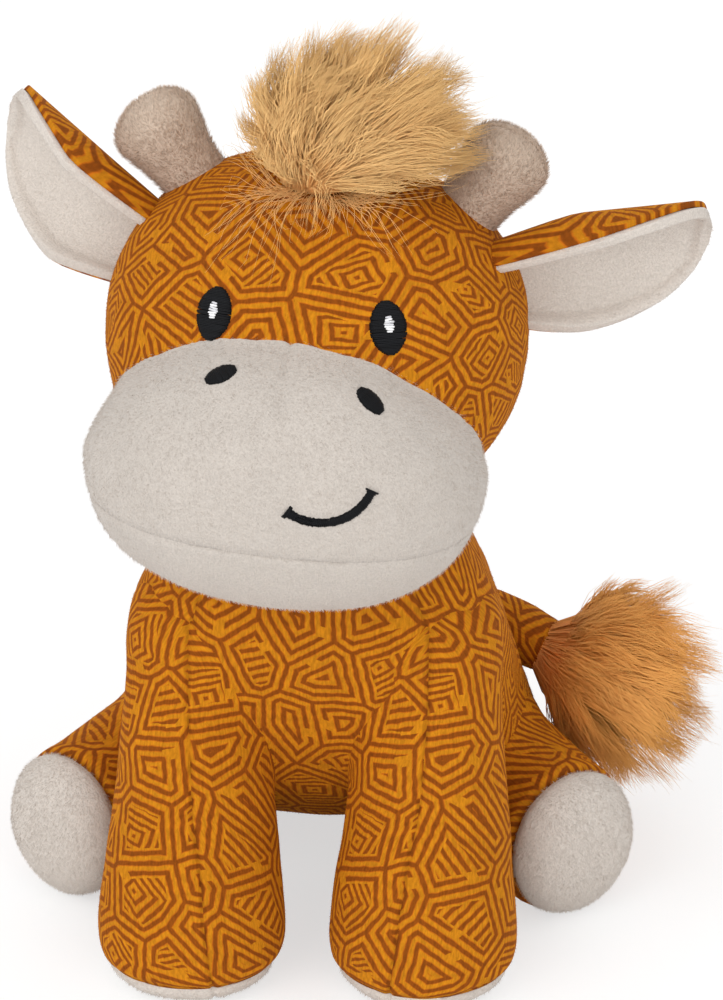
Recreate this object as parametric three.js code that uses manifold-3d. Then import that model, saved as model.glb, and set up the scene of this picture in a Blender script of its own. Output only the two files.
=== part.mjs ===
// A sitting plush giraffe dog toy: sewn covers of short-pile cloth over loose filling, with a squeaker in its
// belly. Millimetres. +Z is up, the face looks along -Y and the toy's own left is +X. The origin is where the
// seat meets the ground. Every stuffed form is drawn once and used three times: its skin is the sewn cover,
// the form drawn in by the cloth's thickness is the filling, and the form let out by the seam gap trims
// whatever is sewn against it.
import * as THREE from "three";
import { mergeVertices } from "three/addons/utils/BufferGeometryUtils.js";
import Module from "manifold-3d";

const wasm = await Module();
wasm.setup();

// Cloth, filling and seams
const CLOTH = 1.6;
const SEAM_GAP = 0.3;
const TURNING_GAP = 0.7;
const WELD = 1e-4;
const FLOOR_FLAT = 0.5;
const THREAD_HEIGHT = 0.9;

// Torso: a pear that leans forward from the seat to the neck
const SEAT_HALF_WIDTH = 53;
const SEAT_HALF_DEPTH = 24.5;
const BELLY_HALF_WIDTH = 49;
const BELLY_HALF_DEPTH = 37.5;
const CHEST_HALF_WIDTH = 43;
const CHEST_HALF_DEPTH = 34;
const NECK_HALF_WIDTH = 34;
const NECK_HALF_DEPTH = 27;
const SEAT_POLE = new THREE.Vector3(0, 12, 8);
const SEAT_CENTRE = new THREE.Vector3(0, -8, 33);
const BELLY_CENTRE = new THREE.Vector3(0, -37, 60);
const CHEST_CENTRE = new THREE.Vector3(0, -55, 92);
const NECK_TOP = new THREE.Vector3(0, -58, 125);
const TORSO_FULLNESS = 2.5;

// Head: a wide ball, with a wider cushion of a muzzle set low on its front
const HEAD_CENTRE = new THREE.Vector3(0, -55, 158);
const HEAD_HALF_WIDTH = 51.5;
const HEAD_HALF_DEPTH = 45;
const HEAD_HALF_HEIGHT = 43;
const HEAD_FULLNESS = 2.2;
const HEAD_ROLL = 4.5;
const HEAD_YAW = -3;
const HEAD_TURN_RANGE = 15;
const MUZZLE_HALF_WIDTH = 48;
const MUZZLE_HALF_DEPTH = 35;
const MUZZLE_HALF_HEIGHT = 34;
const MUZZLE_FULLNESS = 2.3;
const MUZZLE_FORWARD = 35;
const MUZZLE_SIDE = -1.5;
const MUZZLE_DROP = 19.5;
const MUZZLE_TAPER = 0.24;
const LIP_SEAM_DROP = 10;

// Embroidery on the face
const EYE_WIDTH = 8.8;
const EYE_HEIGHT = 12.6;
const EYE_SPACING = 41;
const EYE_RISE = { left: 18.6, right: 17.2 };
const GLINT_WIDTH = 2.6;
const GLINT_HEIGHT = 4;
const GLINT_RISE = 0.8;
const NOSTRIL_WIDTH = 5;
const NOSTRIL_HEIGHT = 7.8;
const NOSTRIL_SPACING = 36.5;
const NOSTRIL_SHIFT = 1.9;
const NOSTRIL_RISE = { left: 25.9, right: 28.1 };
const NOSTRIL_SLANT = { left: 22, right: 48 };
const SMILE_RADIUS = 12.5;
const SMILE_ARC = 106;
const SMILE_WIDTH = 1.9;
const SMILE_OFFSET = 15;
const SMILE_RISE = 1;
const SMILE_TILT = 13;

// Horns
const HORN_LENGTH = 24;
const HORN_BASE_HALF_WIDTH = 8.5;
const HORN_KNOB_HALF_WIDTH = 10.8;
const HORN_FLATNESS = 0.85;
const HORN_SPLAY = { left: 31, right: 40 };
const HORN_NECK_AT = 0.2;
const HORN_KNOB_AT = 0.65;
const HORN_SIDE = 33;
const HORN_BACK = 8;
const HORN_SUNK = 7;

// Ears: a printed back and a plush lining, cupped about the ear's own length
const EAR_LENGTH = 50.5;
const EAR_HALF_WIDTH = 26;
const EAR_ROOT_HALF_WIDTH = 24;
const EAR_TIP_HALF_WIDTH = 3;
const EAR_WIDEST_AT = 0.3;
const EAR_TAPER_AT = 0.75;
const EAR_TAPER_SHARE = 0.74;
const EAR_ROOT_CUP_RADIUS = 15;
const EAR_TIP_CUP_RADIUS = 24;
const EAR_ROOT_SIDE = 43;
const EAR_ROOT_BACK = 6;
const EAR_ROOT_RISE = { left: 26.5, right: 21 };
const EAR_HINGE_DROP = 10;
const EAR_LIFT = { left: 5, right: 20 };
const EAR_SWEEP_BACK = { left: 16, right: 30 };
const EAR_FACING_DOWN = 30;
const EAR_DROOP_RANGE = 20;
const EAR_RAISE_RANGE = 4;
const EAR_SUNK = 5;
const EAR_LAYER_GAP = 0.9;

// Tufts of long pile, as the space that the pile fills
const CROWN_TUFT_HALF_WIDTH = 29;
const CROWN_TUFT_HALF_DEPTH = 23;
const CROWN_TUFT_HALF_HEIGHT = 23;
const CROWN_TUFT_CENTRE = new THREE.Vector3(8, -4, 57);
const TAIL_TUFT_HALF_WIDTH = 23;
const TAIL_TUFT_HALF_DEPTH = 22;
const TAIL_TUFT_HALF_HEIGHT = 28;
const TAIL_TUFT_CENTRE = new THREE.Vector3(79, -12, 41);

// Front legs
const FRONT_FOOT_SIDE = 29;
const FRONT_SHOULDER_SIDE = 29.5;
const FRONT_FOOT_Y = -95;
const FRONT_FOOT_HALF_WIDTH = 23.3;
const FRONT_FOOT_HALF_DEPTH = 22;
const FRONT_KNEE_HALF_WIDTH = 20.5;
const FRONT_KNEE_HALF_DEPTH = 20;
const FRONT_SHOULDER_HALF_WIDTH = 17;
const FRONT_SHOULDER_HALF_DEPTH = 17;
const FRONT_SHOULDER_Y = -71;
const FRONT_SHOULDER_Z = 78;
const FRONT_TOP_Z = 91;
const FRONT_HEEL_SHARE = 0.75;
const FRONT_SOLE_HEIGHT = 6.5;
const FRONT_SWING_RANGE = 25;

// Hind legs
const HIND_HIP = new THREE.Vector3(36, -20, 24);
const HIND_ANKLE = new THREE.Vector3(60, -52, 20);
const HIND_FOOT_LENGTH = 17;
const HIND_THIGH_HALF_WIDTH = 20;
const HIND_THIGH_HALF_HEIGHT = 22;
const HIND_FOOT_HALF_WIDTH = 19;
const HIND_FOOT_HALF_HEIGHT = 20.5;
const HIND_SOLE_LENGTH = 10;
const HIND_SPLAY_RANGE = 15;

// Tail
const TAIL_ROOT = new THREE.Vector3(20, 5, 53);
const TAIL_TIP = new THREE.Vector3(60, -9, 49);
const TAIL_BOW = 8;
const TAIL_HALF_WIDTH = 8.5;
const TAIL_TIP_HALF_WIDTH = 7.5;
const TAIL_SUNK = 16;
const TAIL_SWING_RANGE = 45;

// Squeaker: a blown bulb with a reed plug in its neck
const SQUEAKER_RADIUS = 19;
const SQUEAKER_HALF_HEIGHT = 11;
const SQUEAKER_NECK_RADIUS = 6;
const SQUEAKER_NECK_LENGTH = 7;
const SQUEAKER_WALL = 1.2;
const REED_RIM = 1.5;
const SQUEAKER_FACETS = 16;
const SQUEAKER_CENTRE = new THREE.Vector3(0, -38, 60);

const X_AXIS = new THREE.Vector3(1, 0, 0);
const Y_AXIS = new THREE.Vector3(0, 1, 0);
const Z_AXIS = new THREE.Vector3(0, 0, 1);
const SIDES = { left: 1, right: -1 };
const WORKSPACE = 600;
const radians = THREE.MathUtils.degToRad;

const PRINT = new THREE.MeshStandardMaterial({ color: 0xc97812, roughness: 0.95 });
const CREAM_PLUSH = new THREE.MeshStandardMaterial({ color: 0xd8d0c8, roughness: 0.95 });
const TAUPE_PLUSH = new THREE.MeshStandardMaterial({ color: 0xb9a595, roughness: 0.95 });
const CROWN_PILE = new THREE.MeshStandardMaterial({ color: 0xe8b878, roughness: 0.9 });
const TAIL_PILE = new THREE.MeshStandardMaterial({ color: 0xd9984e, roughness: 0.9 });
const BLACK_THREAD = new THREE.MeshStandardMaterial({ color: 0x17191c, roughness: 0.6 });
const WHITE_THREAD = new THREE.MeshStandardMaterial({ color: 0xf4f4f8, roughness: 0.6 });
const FILLING = new THREE.MeshStandardMaterial({ color: 0xf2f2ee, roughness: 1 });
const SQUEAKER_VINYL = new THREE.MeshStandardMaterial({ color: 0xe9e9e4, roughness: 0.35 });

// Rings along a curve, closed by rounded ends. girths holds a half width and a half depth at each point of
// the spine, fullness is how far a ring fills its corners, and blunt is how square the two ends are. Both are
// 2 for a plain round.
function stuffedForm({
  spine,
  girths,
  widthAxis = X_AXIS,
  around = 14,
  along = 9,
  fullness = 2,
  blunt = [2, 2],
}) {
  const curve = new THREE.CatmullRomCurve3(spine);
  const girth = new THREE.SplineCurve(girths.map(([w, d]) => new THREE.Vector2(w, d)));
  const endSpan = 1 / (spine.length - 1);
  const closing = (share, power) => (share >= 1 ? 1 : (1 - (1 - share) ** power) ** (1 / power));
  const positions = [...curve.getPoint(0).toArray()];
  for (let i = 1; i < along; i += 1) {
    const t = (1 - Math.cos((Math.PI * i) / along)) / 2;
    const round = closing(t / endSpan, blunt[0]) * closing((1 - t) / endSpan, blunt[1]);
    const tangent = curve.getTangent(t);
    const across = widthAxis.clone().addScaledVector(tangent, -widthAxis.dot(tangent)).normalize();
    const deep = tangent.clone().cross(across);
    const half = girth.getPoint(t).multiplyScalar(round);
    for (let j = 0; j < around; j += 1) {
      const side = Math.cos((2 * Math.PI * j) / around);
      const front = Math.sin((2 * Math.PI * j) / around);
      const reach = (Math.abs(side) ** fullness + Math.abs(front) ** fullness) ** (-1 / fullness);
      const point = curve.getPoint(t);
      point.addScaledVector(across, half.x * reach * side);
      point.addScaledVector(deep, half.y * reach * front);
      positions.push(...point.toArray());
    }
  }
  positions.push(...curve.getPoint(1).toArray());
  return new THREE.BufferGeometry()
    .setAttribute("position", new THREE.Float32BufferAttribute(positions, 3))
    .setIndex(lofted(along - 1, around));
}

// Faces between rings of points, the first ring starting at a place in the list. From the place flipped on,
// squares are halved the other way, so that the two sides of a leaf of cloth stay parallel.
function walls(first, rings, around, flipped = around) {
  const at = (ring, j) => first + ring * around + (j % around);
  const faces = [];
  for (let ring = 0; ring < rings - 1; ring += 1) {
    for (let j = 0; j < around; j += 1) {
      const [a, b, c, d] = [at(ring, j), at(ring, j + 1), at(ring + 1, j + 1), at(ring + 1, j)];
      faces.push(...(j < flipped ? [a, b, c, a, c, d] : [a, b, d, b, c, d]));
    }
  }
  return faces;
}

// Faces that join a first point, rings of points one after another, and a last point.
function lofted(rings, around) {
  const last = 1 + rings * around;
  const faces = walls(1, rings, around);
  for (let j = 0; j < around; j += 1) {
    const next = (j + 1) % around;
    faces.push(0, 1 + next, 1 + j);
    faces.push(last - around + j, last - around + next, last);
  }
  return faces;
}

// Faces of a bent leaf, whose rings go out along its back and return along its front.
function leafFaces(rings, strips) {
  const around = 2 * (strips + 1);
  const tip = (rings - 1) * around;
  const faces = walls(0, rings, around, strips + 1);
  for (let k = 0; k < strips; k += 1) {
    const front = around - 1 - k;
    faces.push(k + 1, k, front, k + 1, front, front - 1);
    faces.push(tip + k, tip + k + 1, tip + front - 1, tip + k, tip + front - 1, tip + front);
  }
  return faces;
}

// A ball pushed out towards a box by its fullness, 2 being a plain ellipsoid, with its poles on Z.
function stuffedBall(halfSizes, { fullness = 2, around = 20, along = 10 } = {}) {
  const ball = welded(new THREE.SphereGeometry(1, around, along).rotateX(Math.PI / 2));
  const place = ball.getAttribute("position");
  const point = new THREE.Vector3();
  for (let i = 0; i < place.count; i += 1) {
    point.fromBufferAttribute(place, i);
    const reach = point.toArray().reduce((sum, part) => sum + Math.abs(part) ** fullness, 0);
    point.multiplyScalar(reach ** (-1 / fullness)).multiply(halfSizes);
    place.setXYZ(i, ...point.toArray());
  }
  return ball;
}

// The muzzle, whose upper part is narrower than the part by the lips.
function muzzleBall() {
  const ball = stuffedBall(muzzleHalves, { fullness: MUZZLE_FULLNESS });
  const place = ball.getAttribute("position");
  for (let i = 0; i < place.count; i += 1) {
    place.setX(i, place.getX(i) * muzzleNarrowing(place.getZ(i)));
  }
  return ball;
}

const muzzleNarrowing = (rise) => 1 - MUZZLE_TAPER * Math.max(0, rise / MUZZLE_HALF_HEIGHT);

function welded(geometry) {
  const bare = geometry.clone();
  bare.deleteAttribute("normal");
  bare.deleteAttribute("uv");
  return mergeVertices(bare, WELD);
}

function mirrored(geometry) {
  const other = geometry.clone().scale(-1, 1, 1);
  const faces = other.getIndex().array;
  for (let i = 0; i < faces.length; i += 3) {
    [faces[i + 1], faces[i + 2]] = [faces[i + 2], faces[i + 1]];
  }
  return other;
}

// The same surface let out by a distance, or drawn in by a negative one.
function letOut(geometry, distance) {
  const changed = geometry.clone();
  changed.computeVertexNormals();
  const place = changed.getAttribute("position");
  const normal = changed.getAttribute("normal");
  const point = new THREE.Vector3();
  const outward = new THREE.Vector3();
  for (let i = 0; i < place.count; i += 1) {
    outward.fromBufferAttribute(normal, i);
    point.fromBufferAttribute(place, i).addScaledVector(outward, distance);
    place.setXYZ(i, ...point.toArray());
  }
  changed.deleteAttribute("normal");
  return changed;
}

// Lowers or lifts a form until the ground would flatten it by FLOOR_FLAT.
function settled(geometry) {
  geometry.computeBoundingBox();
  return geometry.clone().translate(0, 0, -FLOOR_FLAT - geometry.boundingBox.min.z);
}

function solidOf(geometry) {
  const closed = welded(geometry);
  const vertProperties = new Float32Array(closed.getAttribute("position").array);
  const triVerts = new Uint32Array(closed.getIndex().array);
  return new wasm.Manifold(new wasm.Mesh({ numProp: 3, vertProperties, triVerts }));
}

// A form's sewn skin, its filling, and the thin layer over it that thread lies in.
const skinOf = (form) => solidOf(form).subtract(solidOf(letOut(form, -CLOTH)));
const fillingOf = (form) => solidOf(letOut(form, -CLOTH - SEAM_GAP));
const threadOver = (form, under) =>
  solidOf(letOut(form, under + SEAM_GAP + THREAD_HEIGHT)).subtract(solidOf(letOut(form, under + SEAM_GAP)));

function trimmed(solid, form, gap = SEAM_GAP) {
  return solid.subtract(solidOf(letOut(form, gap)));
}

// A turn by degrees about a hinge.
function turnAbout(hinge, degrees) {
  const there = new THREE.Matrix4().makeTranslation(hinge.point);
  const turn = new THREE.Matrix4().makeRotationAxis(hinge.axis, radians(degrees));
  const back = new THREE.Matrix4().makeTranslation(hinge.point.clone().negate());
  return there.multiply(turn).multiply(back);
}

// Trims a piece by a neighbour at rest and, with more room, wherever the piece swings to against it.
function trimmedForSwing(solid, neighbour, hinge, angles) {
  return angles.reduce(
    (left, angle) => trimmed(left, neighbour.clone().applyMatrix4(turnAbout(hinge, -angle)), TURNING_GAP),
    trimmed(solid, neighbour),
  );
}

// Everything on the side of a point that a direction looks to.
function halfSpace(point, direction) {
  const turn = new THREE.Quaternion().setFromUnitVectors(Z_AXIS, direction.clone().normalize());
  const box = new THREE.BoxGeometry(WORKSPACE, WORKSPACE, WORKSPACE).translate(0, 0, WORKSPACE / 2);
  return solidOf(box.applyQuaternion(turn).translate(...point.toArray()));
}

const aboveFloor = halfSpace(new THREE.Vector3(), Z_AXIS);

// Parts a solid along a seam: first the side that the direction looks to, then the other side.
function partedAt(solid, point, direction) {
  const out = direction.clone().normalize();
  return [out, out.clone().negate()].map((way) =>
    solid.intersect(halfSpace(point.clone().addScaledVector(way, SEAM_GAP / 2), way)),
  );
}

// Names a solid. Of a solid that a trim cuts apart, only the largest body is kept.
function piece(name, solid, material) {
  const bodies = solid.decompose().sort((a, b) => b.volume() - a.volume());
  const { vertProperties, triVerts } = bodies[0].getMesh();
  const geometry = new THREE.BufferGeometry()
    .setAttribute("position", new THREE.BufferAttribute(new Float32Array(vertProperties), 3))
    .setIndex(new THREE.BufferAttribute(new Uint32Array(triVerts), 1));
  const mesh = new THREE.Mesh(geometry, material);
  mesh.name = name;
  return mesh;
}

// Forms of the head, in the head's own frame
const head = new THREE.Group();
head.position.copy(HEAD_CENTRE);
head.rotation.set(0, radians(HEAD_ROLL), radians(HEAD_YAW), "ZYX");
head.updateMatrix();

const headHalves = new THREE.Vector3(HEAD_HALF_WIDTH, HEAD_HALF_DEPTH, HEAD_HALF_HEIGHT);
const muzzleHalves = new THREE.Vector3(MUZZLE_HALF_WIDTH, MUZZLE_HALF_DEPTH, MUZZLE_HALF_HEIGHT);
const muzzleCentre = new THREE.Vector3(MUZZLE_SIDE, -MUZZLE_FORWARD, -MUZZLE_DROP);
const headForm = stuffedBall(headHalves, { fullness: HEAD_FULLNESS });
const muzzleForm = muzzleBall().translate(...muzzleCentre);
const headHinge = { point: HEAD_CENTRE, axis: Z_AXIS };

// Forms of the body and the limbs, in the toy's frame
const torsoForm = settled(
  stuffedForm({
    spine: [SEAT_POLE, SEAT_CENTRE, BELLY_CENTRE, CHEST_CENTRE, NECK_TOP],
    girths: [
      [SEAT_HALF_WIDTH, SEAT_HALF_DEPTH],
      [SEAT_HALF_WIDTH, SEAT_HALF_DEPTH],
      [BELLY_HALF_WIDTH, BELLY_HALF_DEPTH],
      [CHEST_HALF_WIDTH, CHEST_HALF_DEPTH],
      [NECK_HALF_WIDTH, NECK_HALF_DEPTH],
    ],
    around: 20,
    along: 11,
    fullness: TORSO_FULLNESS,
    blunt: [2, 4],
  }),
);

function frontLegForm(side) {
  const at = (x, y, z) => new THREE.Vector3(side * x, y, z);
  const kneeSide = (FRONT_SHOULDER_SIDE + FRONT_FOOT_SIDE) / 2;
  const kneeY = (FRONT_SHOULDER_Y + FRONT_FOOT_Y) / 2;
  return settled(
    stuffedForm({
      spine: [
        at(FRONT_SHOULDER_SIDE, FRONT_SHOULDER_Y, FRONT_TOP_Z),
        at(FRONT_SHOULDER_SIDE, FRONT_SHOULDER_Y, FRONT_SHOULDER_Z),
        at(kneeSide, kneeY, FRONT_SHOULDER_Z / 2),
        at(FRONT_FOOT_SIDE, FRONT_FOOT_Y, FRONT_FOOT_HALF_DEPTH * FRONT_HEEL_SHARE),
        at(FRONT_FOOT_SIDE, FRONT_FOOT_Y, 0),
      ],
      girths: [
        [FRONT_SHOULDER_HALF_WIDTH, FRONT_SHOULDER_HALF_DEPTH],
        [FRONT_SHOULDER_HALF_WIDTH, FRONT_SHOULDER_HALF_DEPTH],
        [FRONT_KNEE_HALF_WIDTH, FRONT_KNEE_HALF_DEPTH],
        [FRONT_FOOT_HALF_WIDTH, FRONT_FOOT_HALF_DEPTH],
        [FRONT_FOOT_HALF_WIDTH, FRONT_FOOT_HALF_DEPTH],
      ],
      blunt: [2, 3],
    }),
  );
}

const frontLegHinge = {
  point: new THREE.Vector3(0, FRONT_SHOULDER_Y - FRONT_SHOULDER_HALF_DEPTH / 2, FRONT_TOP_Z),
  axis: X_AXIS,
};

const hindLegRun = HIND_ANKLE.clone().sub(HIND_HIP).setZ(0).normalize();

function hindLegForm(side) {
  const mirror = new THREE.Vector3(side, 1, 1);
  const toe = HIND_ANKLE.clone().addScaledVector(hindLegRun, HIND_FOOT_LENGTH);
  const back = HIND_HIP.clone().addScaledVector(hindLegRun, -HIND_THIGH_HALF_WIDTH);
  return settled(
    stuffedForm({
      spine: [back, HIND_HIP, HIND_ANKLE, toe].map((point) => point.clone().multiply(mirror)),
      girths: [
        [HIND_THIGH_HALF_HEIGHT, HIND_THIGH_HALF_WIDTH],
        [HIND_THIGH_HALF_HEIGHT, HIND_THIGH_HALF_WIDTH],
        [HIND_FOOT_HALF_HEIGHT, HIND_FOOT_HALF_WIDTH],
        [HIND_FOOT_HALF_HEIGHT, HIND_FOOT_HALF_WIDTH],
      ],
      widthAxis: Z_AXIS,
      blunt: [2, 3],
    }),
  );
}

function hindLegHinge(side) {
  const reach = HIND_THIGH_HALF_WIDTH / 2;
  return { point: new THREE.Vector3(side * (HIND_HIP.x + reach), HIND_HIP.y + reach, 0), axis: Z_AXIS };
}

// The tail bows out behind the seat on its way from its root to the tuft.
function tailForm() {
  const run = TAIL_TIP.clone().sub(TAIL_ROOT).normalize();
  const middle = TAIL_ROOT.clone().lerp(TAIL_TIP, 0.5).addScaledVector(Y_AXIS, TAIL_BOW);
  const inside = TAIL_ROOT.clone().addScaledVector(run, -TAIL_SUNK);
  return stuffedForm({
    spine: [inside, TAIL_ROOT, middle, TAIL_TIP],
    girths: [
      [TAIL_HALF_WIDTH, TAIL_HALF_WIDTH],
      [TAIL_HALF_WIDTH, TAIL_HALF_WIDTH],
      [TAIL_HALF_WIDTH, TAIL_HALF_WIDTH],
      [TAIL_TIP_HALF_WIDTH, TAIL_TIP_HALF_WIDTH],
    ],
    widthAxis: Z_AXIS,
    around: 12,
    along: 8,
    blunt: [2, 6],
  });
}

const tailHinge = { point: TAIL_ROOT, axis: Z_AXIS };

// The neck is trimmed by the head and the muzzle with the head turned fully to either side.
function underHead(solid) {
  return [headForm, muzzleForm].reduce((left, form) => {
    const inPlace = form.clone().applyMatrix4(head.matrix);
    return [-HEAD_TURN_RANGE, HEAD_TURN_RANGE].reduce(
      (rest, angle) => trimmed(rest, inPlace.clone().applyMatrix4(turnAbout(headHinge, angle)), TURNING_GAP),
      left,
    );
  }, solid);
}

function addTorso(toy) {
  const aroundBulb = trimmed(underHead(fillingOf(torsoForm)), squeakerBulbForm());
  const filling = aroundBulb.subtract(solidOf(squeakerNeckSpace())).intersect(aboveFloor);
  const [upper, lower] = partedAt(filling, SQUEAKER_CENTRE, Z_AXIS);
  toy.add(
    piece("torso_cover", underHead(skinOf(torsoForm)).intersect(aboveFloor), PRINT),
    piece("torso_filling_upper", upper, FILLING),
    piece("torso_filling_lower", lower, FILLING),
  );
}

// The squeaker lies upright in the belly, its reed at the top.
function inBelly(geometry) {
  return geometry.translate(...SQUEAKER_CENTRE.toArray());
}

function squeakerBulbForm() {
  const halves = new THREE.Vector3(SQUEAKER_RADIUS, SQUEAKER_RADIUS, SQUEAKER_HALF_HEIGHT);
  return inBelly(stuffedBall(halves, { around: SQUEAKER_FACETS, along: 7 }));
}

function post(radius, length) {
  const upright = new THREE.CylinderGeometry(radius, radius, length, SQUEAKER_FACETS).rotateX(Math.PI / 2);
  return inBelly(upright.translate(0, 0, length / 2));
}

const squeakerNeckTop = SQUEAKER_HALF_HEIGHT + SQUEAKER_NECK_LENGTH;

function squeakerNeckSpace() {
  return post(SQUEAKER_NECK_RADIUS + SEAM_GAP, squeakerNeckTop + REED_RIM + 2 * SEAM_GAP);
}

function addSqueaker(toy) {
  const bore = SQUEAKER_NECK_RADIUS - SQUEAKER_WALL;
  const bulb = solidOf(squeakerBulbForm())
    .add(solidOf(post(SQUEAKER_NECK_RADIUS, squeakerNeckTop)))
    .subtract(solidOf(letOut(squeakerBulbForm(), -SQUEAKER_WALL)))
    .subtract(solidOf(post(bore, squeakerNeckTop + SEAM_GAP)));
  toy.add(
    piece("squeaker_bulb", bulb, SQUEAKER_VINYL),
    piece("squeaker_reed", reedPlug(bore), SQUEAKER_VINYL),
  );
}

// The reed plug: a hollow stem that fits the neck's bore, under a rim that sits on the neck's mouth.
function reedPlug(bore) {
  const stem = bore - SEAM_GAP;
  const mouth = squeakerNeckTop + SEAM_GAP;
  const profile = [
    [stem - SQUEAKER_WALL, mouth - SQUEAKER_NECK_LENGTH],
    [stem, mouth - SQUEAKER_NECK_LENGTH],
    [stem, mouth],
    [SQUEAKER_NECK_RADIUS, mouth],
    [SQUEAKER_NECK_RADIUS, mouth + REED_RIM],
    [stem - SQUEAKER_WALL, mouth + REED_RIM],
  ];
  const points = [...profile, profile[0]].map(([r, z]) => new THREE.Vector2(r, z));
  return solidOf(inBelly(new THREE.LatheGeometry(points, SQUEAKER_FACETS).rotateX(Math.PI / 2)));
}

// The head's printed cap, its cream muzzle and its chin are panels of one stuffed pocket.
function addHeadPanels(toy) {
  const lipSeam = muzzleCentre.clone().setZ(-MUZZLE_DROP - LIP_SEAM_DROP);
  const [muzzle, chin] = partedAt(trimmed(skinOf(muzzleForm), headForm), lipSeam, Z_AXIS);
  toy.add(
    piece("head_cover", trimmed(skinOf(headForm), muzzleForm), PRINT),
    piece("muzzle_cover", muzzle, CREAM_PLUSH),
    piece("chin_cover", chin, CREAM_PLUSH),
    piece("head_filling", fillingOf(headForm).add(fillingOf(muzzleForm)), FILLING),
  );
}

// Sets a flat shape, drawn in x and y and extruded both ways, square to a surface at a point.
function punch(shape, { point, outward }, lean = 0) {
  const reach = 7;
  const blade = new THREE.ExtrudeGeometry(shape, { depth: 2 * reach, bevelEnabled: false, curveSegments: 7 });
  const facing = new THREE.Matrix4().lookAt(outward, new THREE.Vector3(), Z_AXIS).setPosition(point);
  return solidOf(blade.translate(0, 0, -reach).rotateZ(radians(lean)).applyMatrix4(facing));
}

function ellipse(width, height) {
  return new THREE.Shape().absellipse(0, 0, width / 2, height / 2, 0, 2 * Math.PI);
}

// The front of a full ball at a given side and rise from its centre, and the way out of it there.
function frontOf(halves, fullness, side, rise) {
  const used = Math.abs(side / halves.x) ** fullness + Math.abs(rise / halves.z) ** fullness;
  const share = new THREE.Vector3(side / halves.x, -((1 - used) ** (1 / fullness)), rise / halves.z);
  const slopes = share.toArray().map((part) => Math.sign(part) * Math.abs(part) ** (fullness - 1));
  return {
    point: share.clone().multiply(halves),
    outward: new THREE.Vector3(...slopes).divide(halves).normalize(),
  };
}

const onHead = (side, rise) => frontOf(headHalves, HEAD_FULLNESS, side, rise);

function onMuzzle(side, rise) {
  const narrowing = muzzleNarrowing(rise);
  const spot = frontOf(muzzleHalves, MUZZLE_FULLNESS, side / narrowing, rise);
  spot.point.x *= narrowing;
  return { point: spot.point.add(muzzleCentre), outward: spot.outward };
}

// Satin stitch raised over the cloth: eyes with a glint on each, slanting nostrils and a smile to one side.
function addFace(toy) {
  for (const [name, side] of Object.entries(SIDES)) {
    const eyeSpot = onHead((side * EYE_SPACING) / 2, EYE_RISE[name]);
    const glintSpot = onHead((side * EYE_SPACING) / 2, EYE_RISE[name] + GLINT_RISE);
    const nostrilSpot = onMuzzle((side * NOSTRIL_SPACING) / 2 + NOSTRIL_SHIFT, NOSTRIL_RISE[name]);
    const eye = threadOver(headForm, 0).intersect(punch(ellipse(EYE_WIDTH, EYE_HEIGHT), eyeSpot));
    const glint = threadOver(headForm, SEAM_GAP + THREAD_HEIGHT).intersect(
      punch(ellipse(GLINT_WIDTH, GLINT_HEIGHT), glintSpot),
    );
    const nostril = threadOver(muzzleForm, 0).intersect(
      punch(ellipse(NOSTRIL_WIDTH, NOSTRIL_HEIGHT), nostrilSpot, side * NOSTRIL_SLANT[name]),
    );
    toy.add(
      piece(`eye_${name}`, trimmed(eye, muzzleForm), BLACK_THREAD),
      piece(`eye_glint_${name}`, glint, WHITE_THREAD),
      piece(`nostril_${name}`, nostril, BLACK_THREAD),
    );
  }
  const smile = threadOver(muzzleForm, 0).intersect(
    punch(smileShape(), onMuzzle(SMILE_OFFSET, SMILE_RISE), SMILE_TILT),
  );
  toy.add(piece("smile", smile, BLACK_THREAD));
}

function smileShape() {
  const low = radians(270 - SMILE_ARC / 2);
  const high = radians(270 + SMILE_ARC / 2);
  return new THREE.Shape()
    .absarc(0, SMILE_RADIUS, SMILE_RADIUS + SMILE_WIDTH / 2, low, high, false)
    .absarc(0, SMILE_RADIUS, SMILE_RADIUS - SMILE_WIDTH / 2, high, low, true);
}

function hornForm(name) {
  const side = SIDES[name];
  const splay = radians(HORN_SPLAY[name]);
  const run = new THREE.Vector3(side * Math.sin(splay), 0, Math.cos(splay));
  const used = (HORN_SIDE / HEAD_HALF_WIDTH) ** 2 + (HORN_BACK / HEAD_HALF_DEPTH) ** 2;
  const root = new THREE.Vector3(side * HORN_SIDE, HORN_BACK, HEAD_HALF_HEIGHT * Math.sqrt(1 - used));
  const ways = [-HORN_SUNK, HORN_LENGTH * HORN_NECK_AT, HORN_LENGTH * HORN_KNOB_AT, HORN_LENGTH];
  const halves = [HORN_BASE_HALF_WIDTH, HORN_BASE_HALF_WIDTH, HORN_KNOB_HALF_WIDTH, HORN_KNOB_HALF_WIDTH];
  return stuffedForm({
    spine: ways.map((way) => root.clone().addScaledVector(run, way)),
    girths: halves.map((half) => [half, half * HORN_FLATNESS]),
    around: 12,
    along: 9,
    blunt: [6, 2.2],
  });
}

function addHorns(toy) {
  for (const name of Object.keys(SIDES)) {
    const form = hornForm(name);
    toy.add(
      piece(`horn_cover_${name}`, trimmed(skinOf(form), headForm), TAUPE_PLUSH),
      piece(`horn_filling_${name}`, trimmed(fillingOf(form), headForm), FILLING),
    );
  }
}

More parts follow.
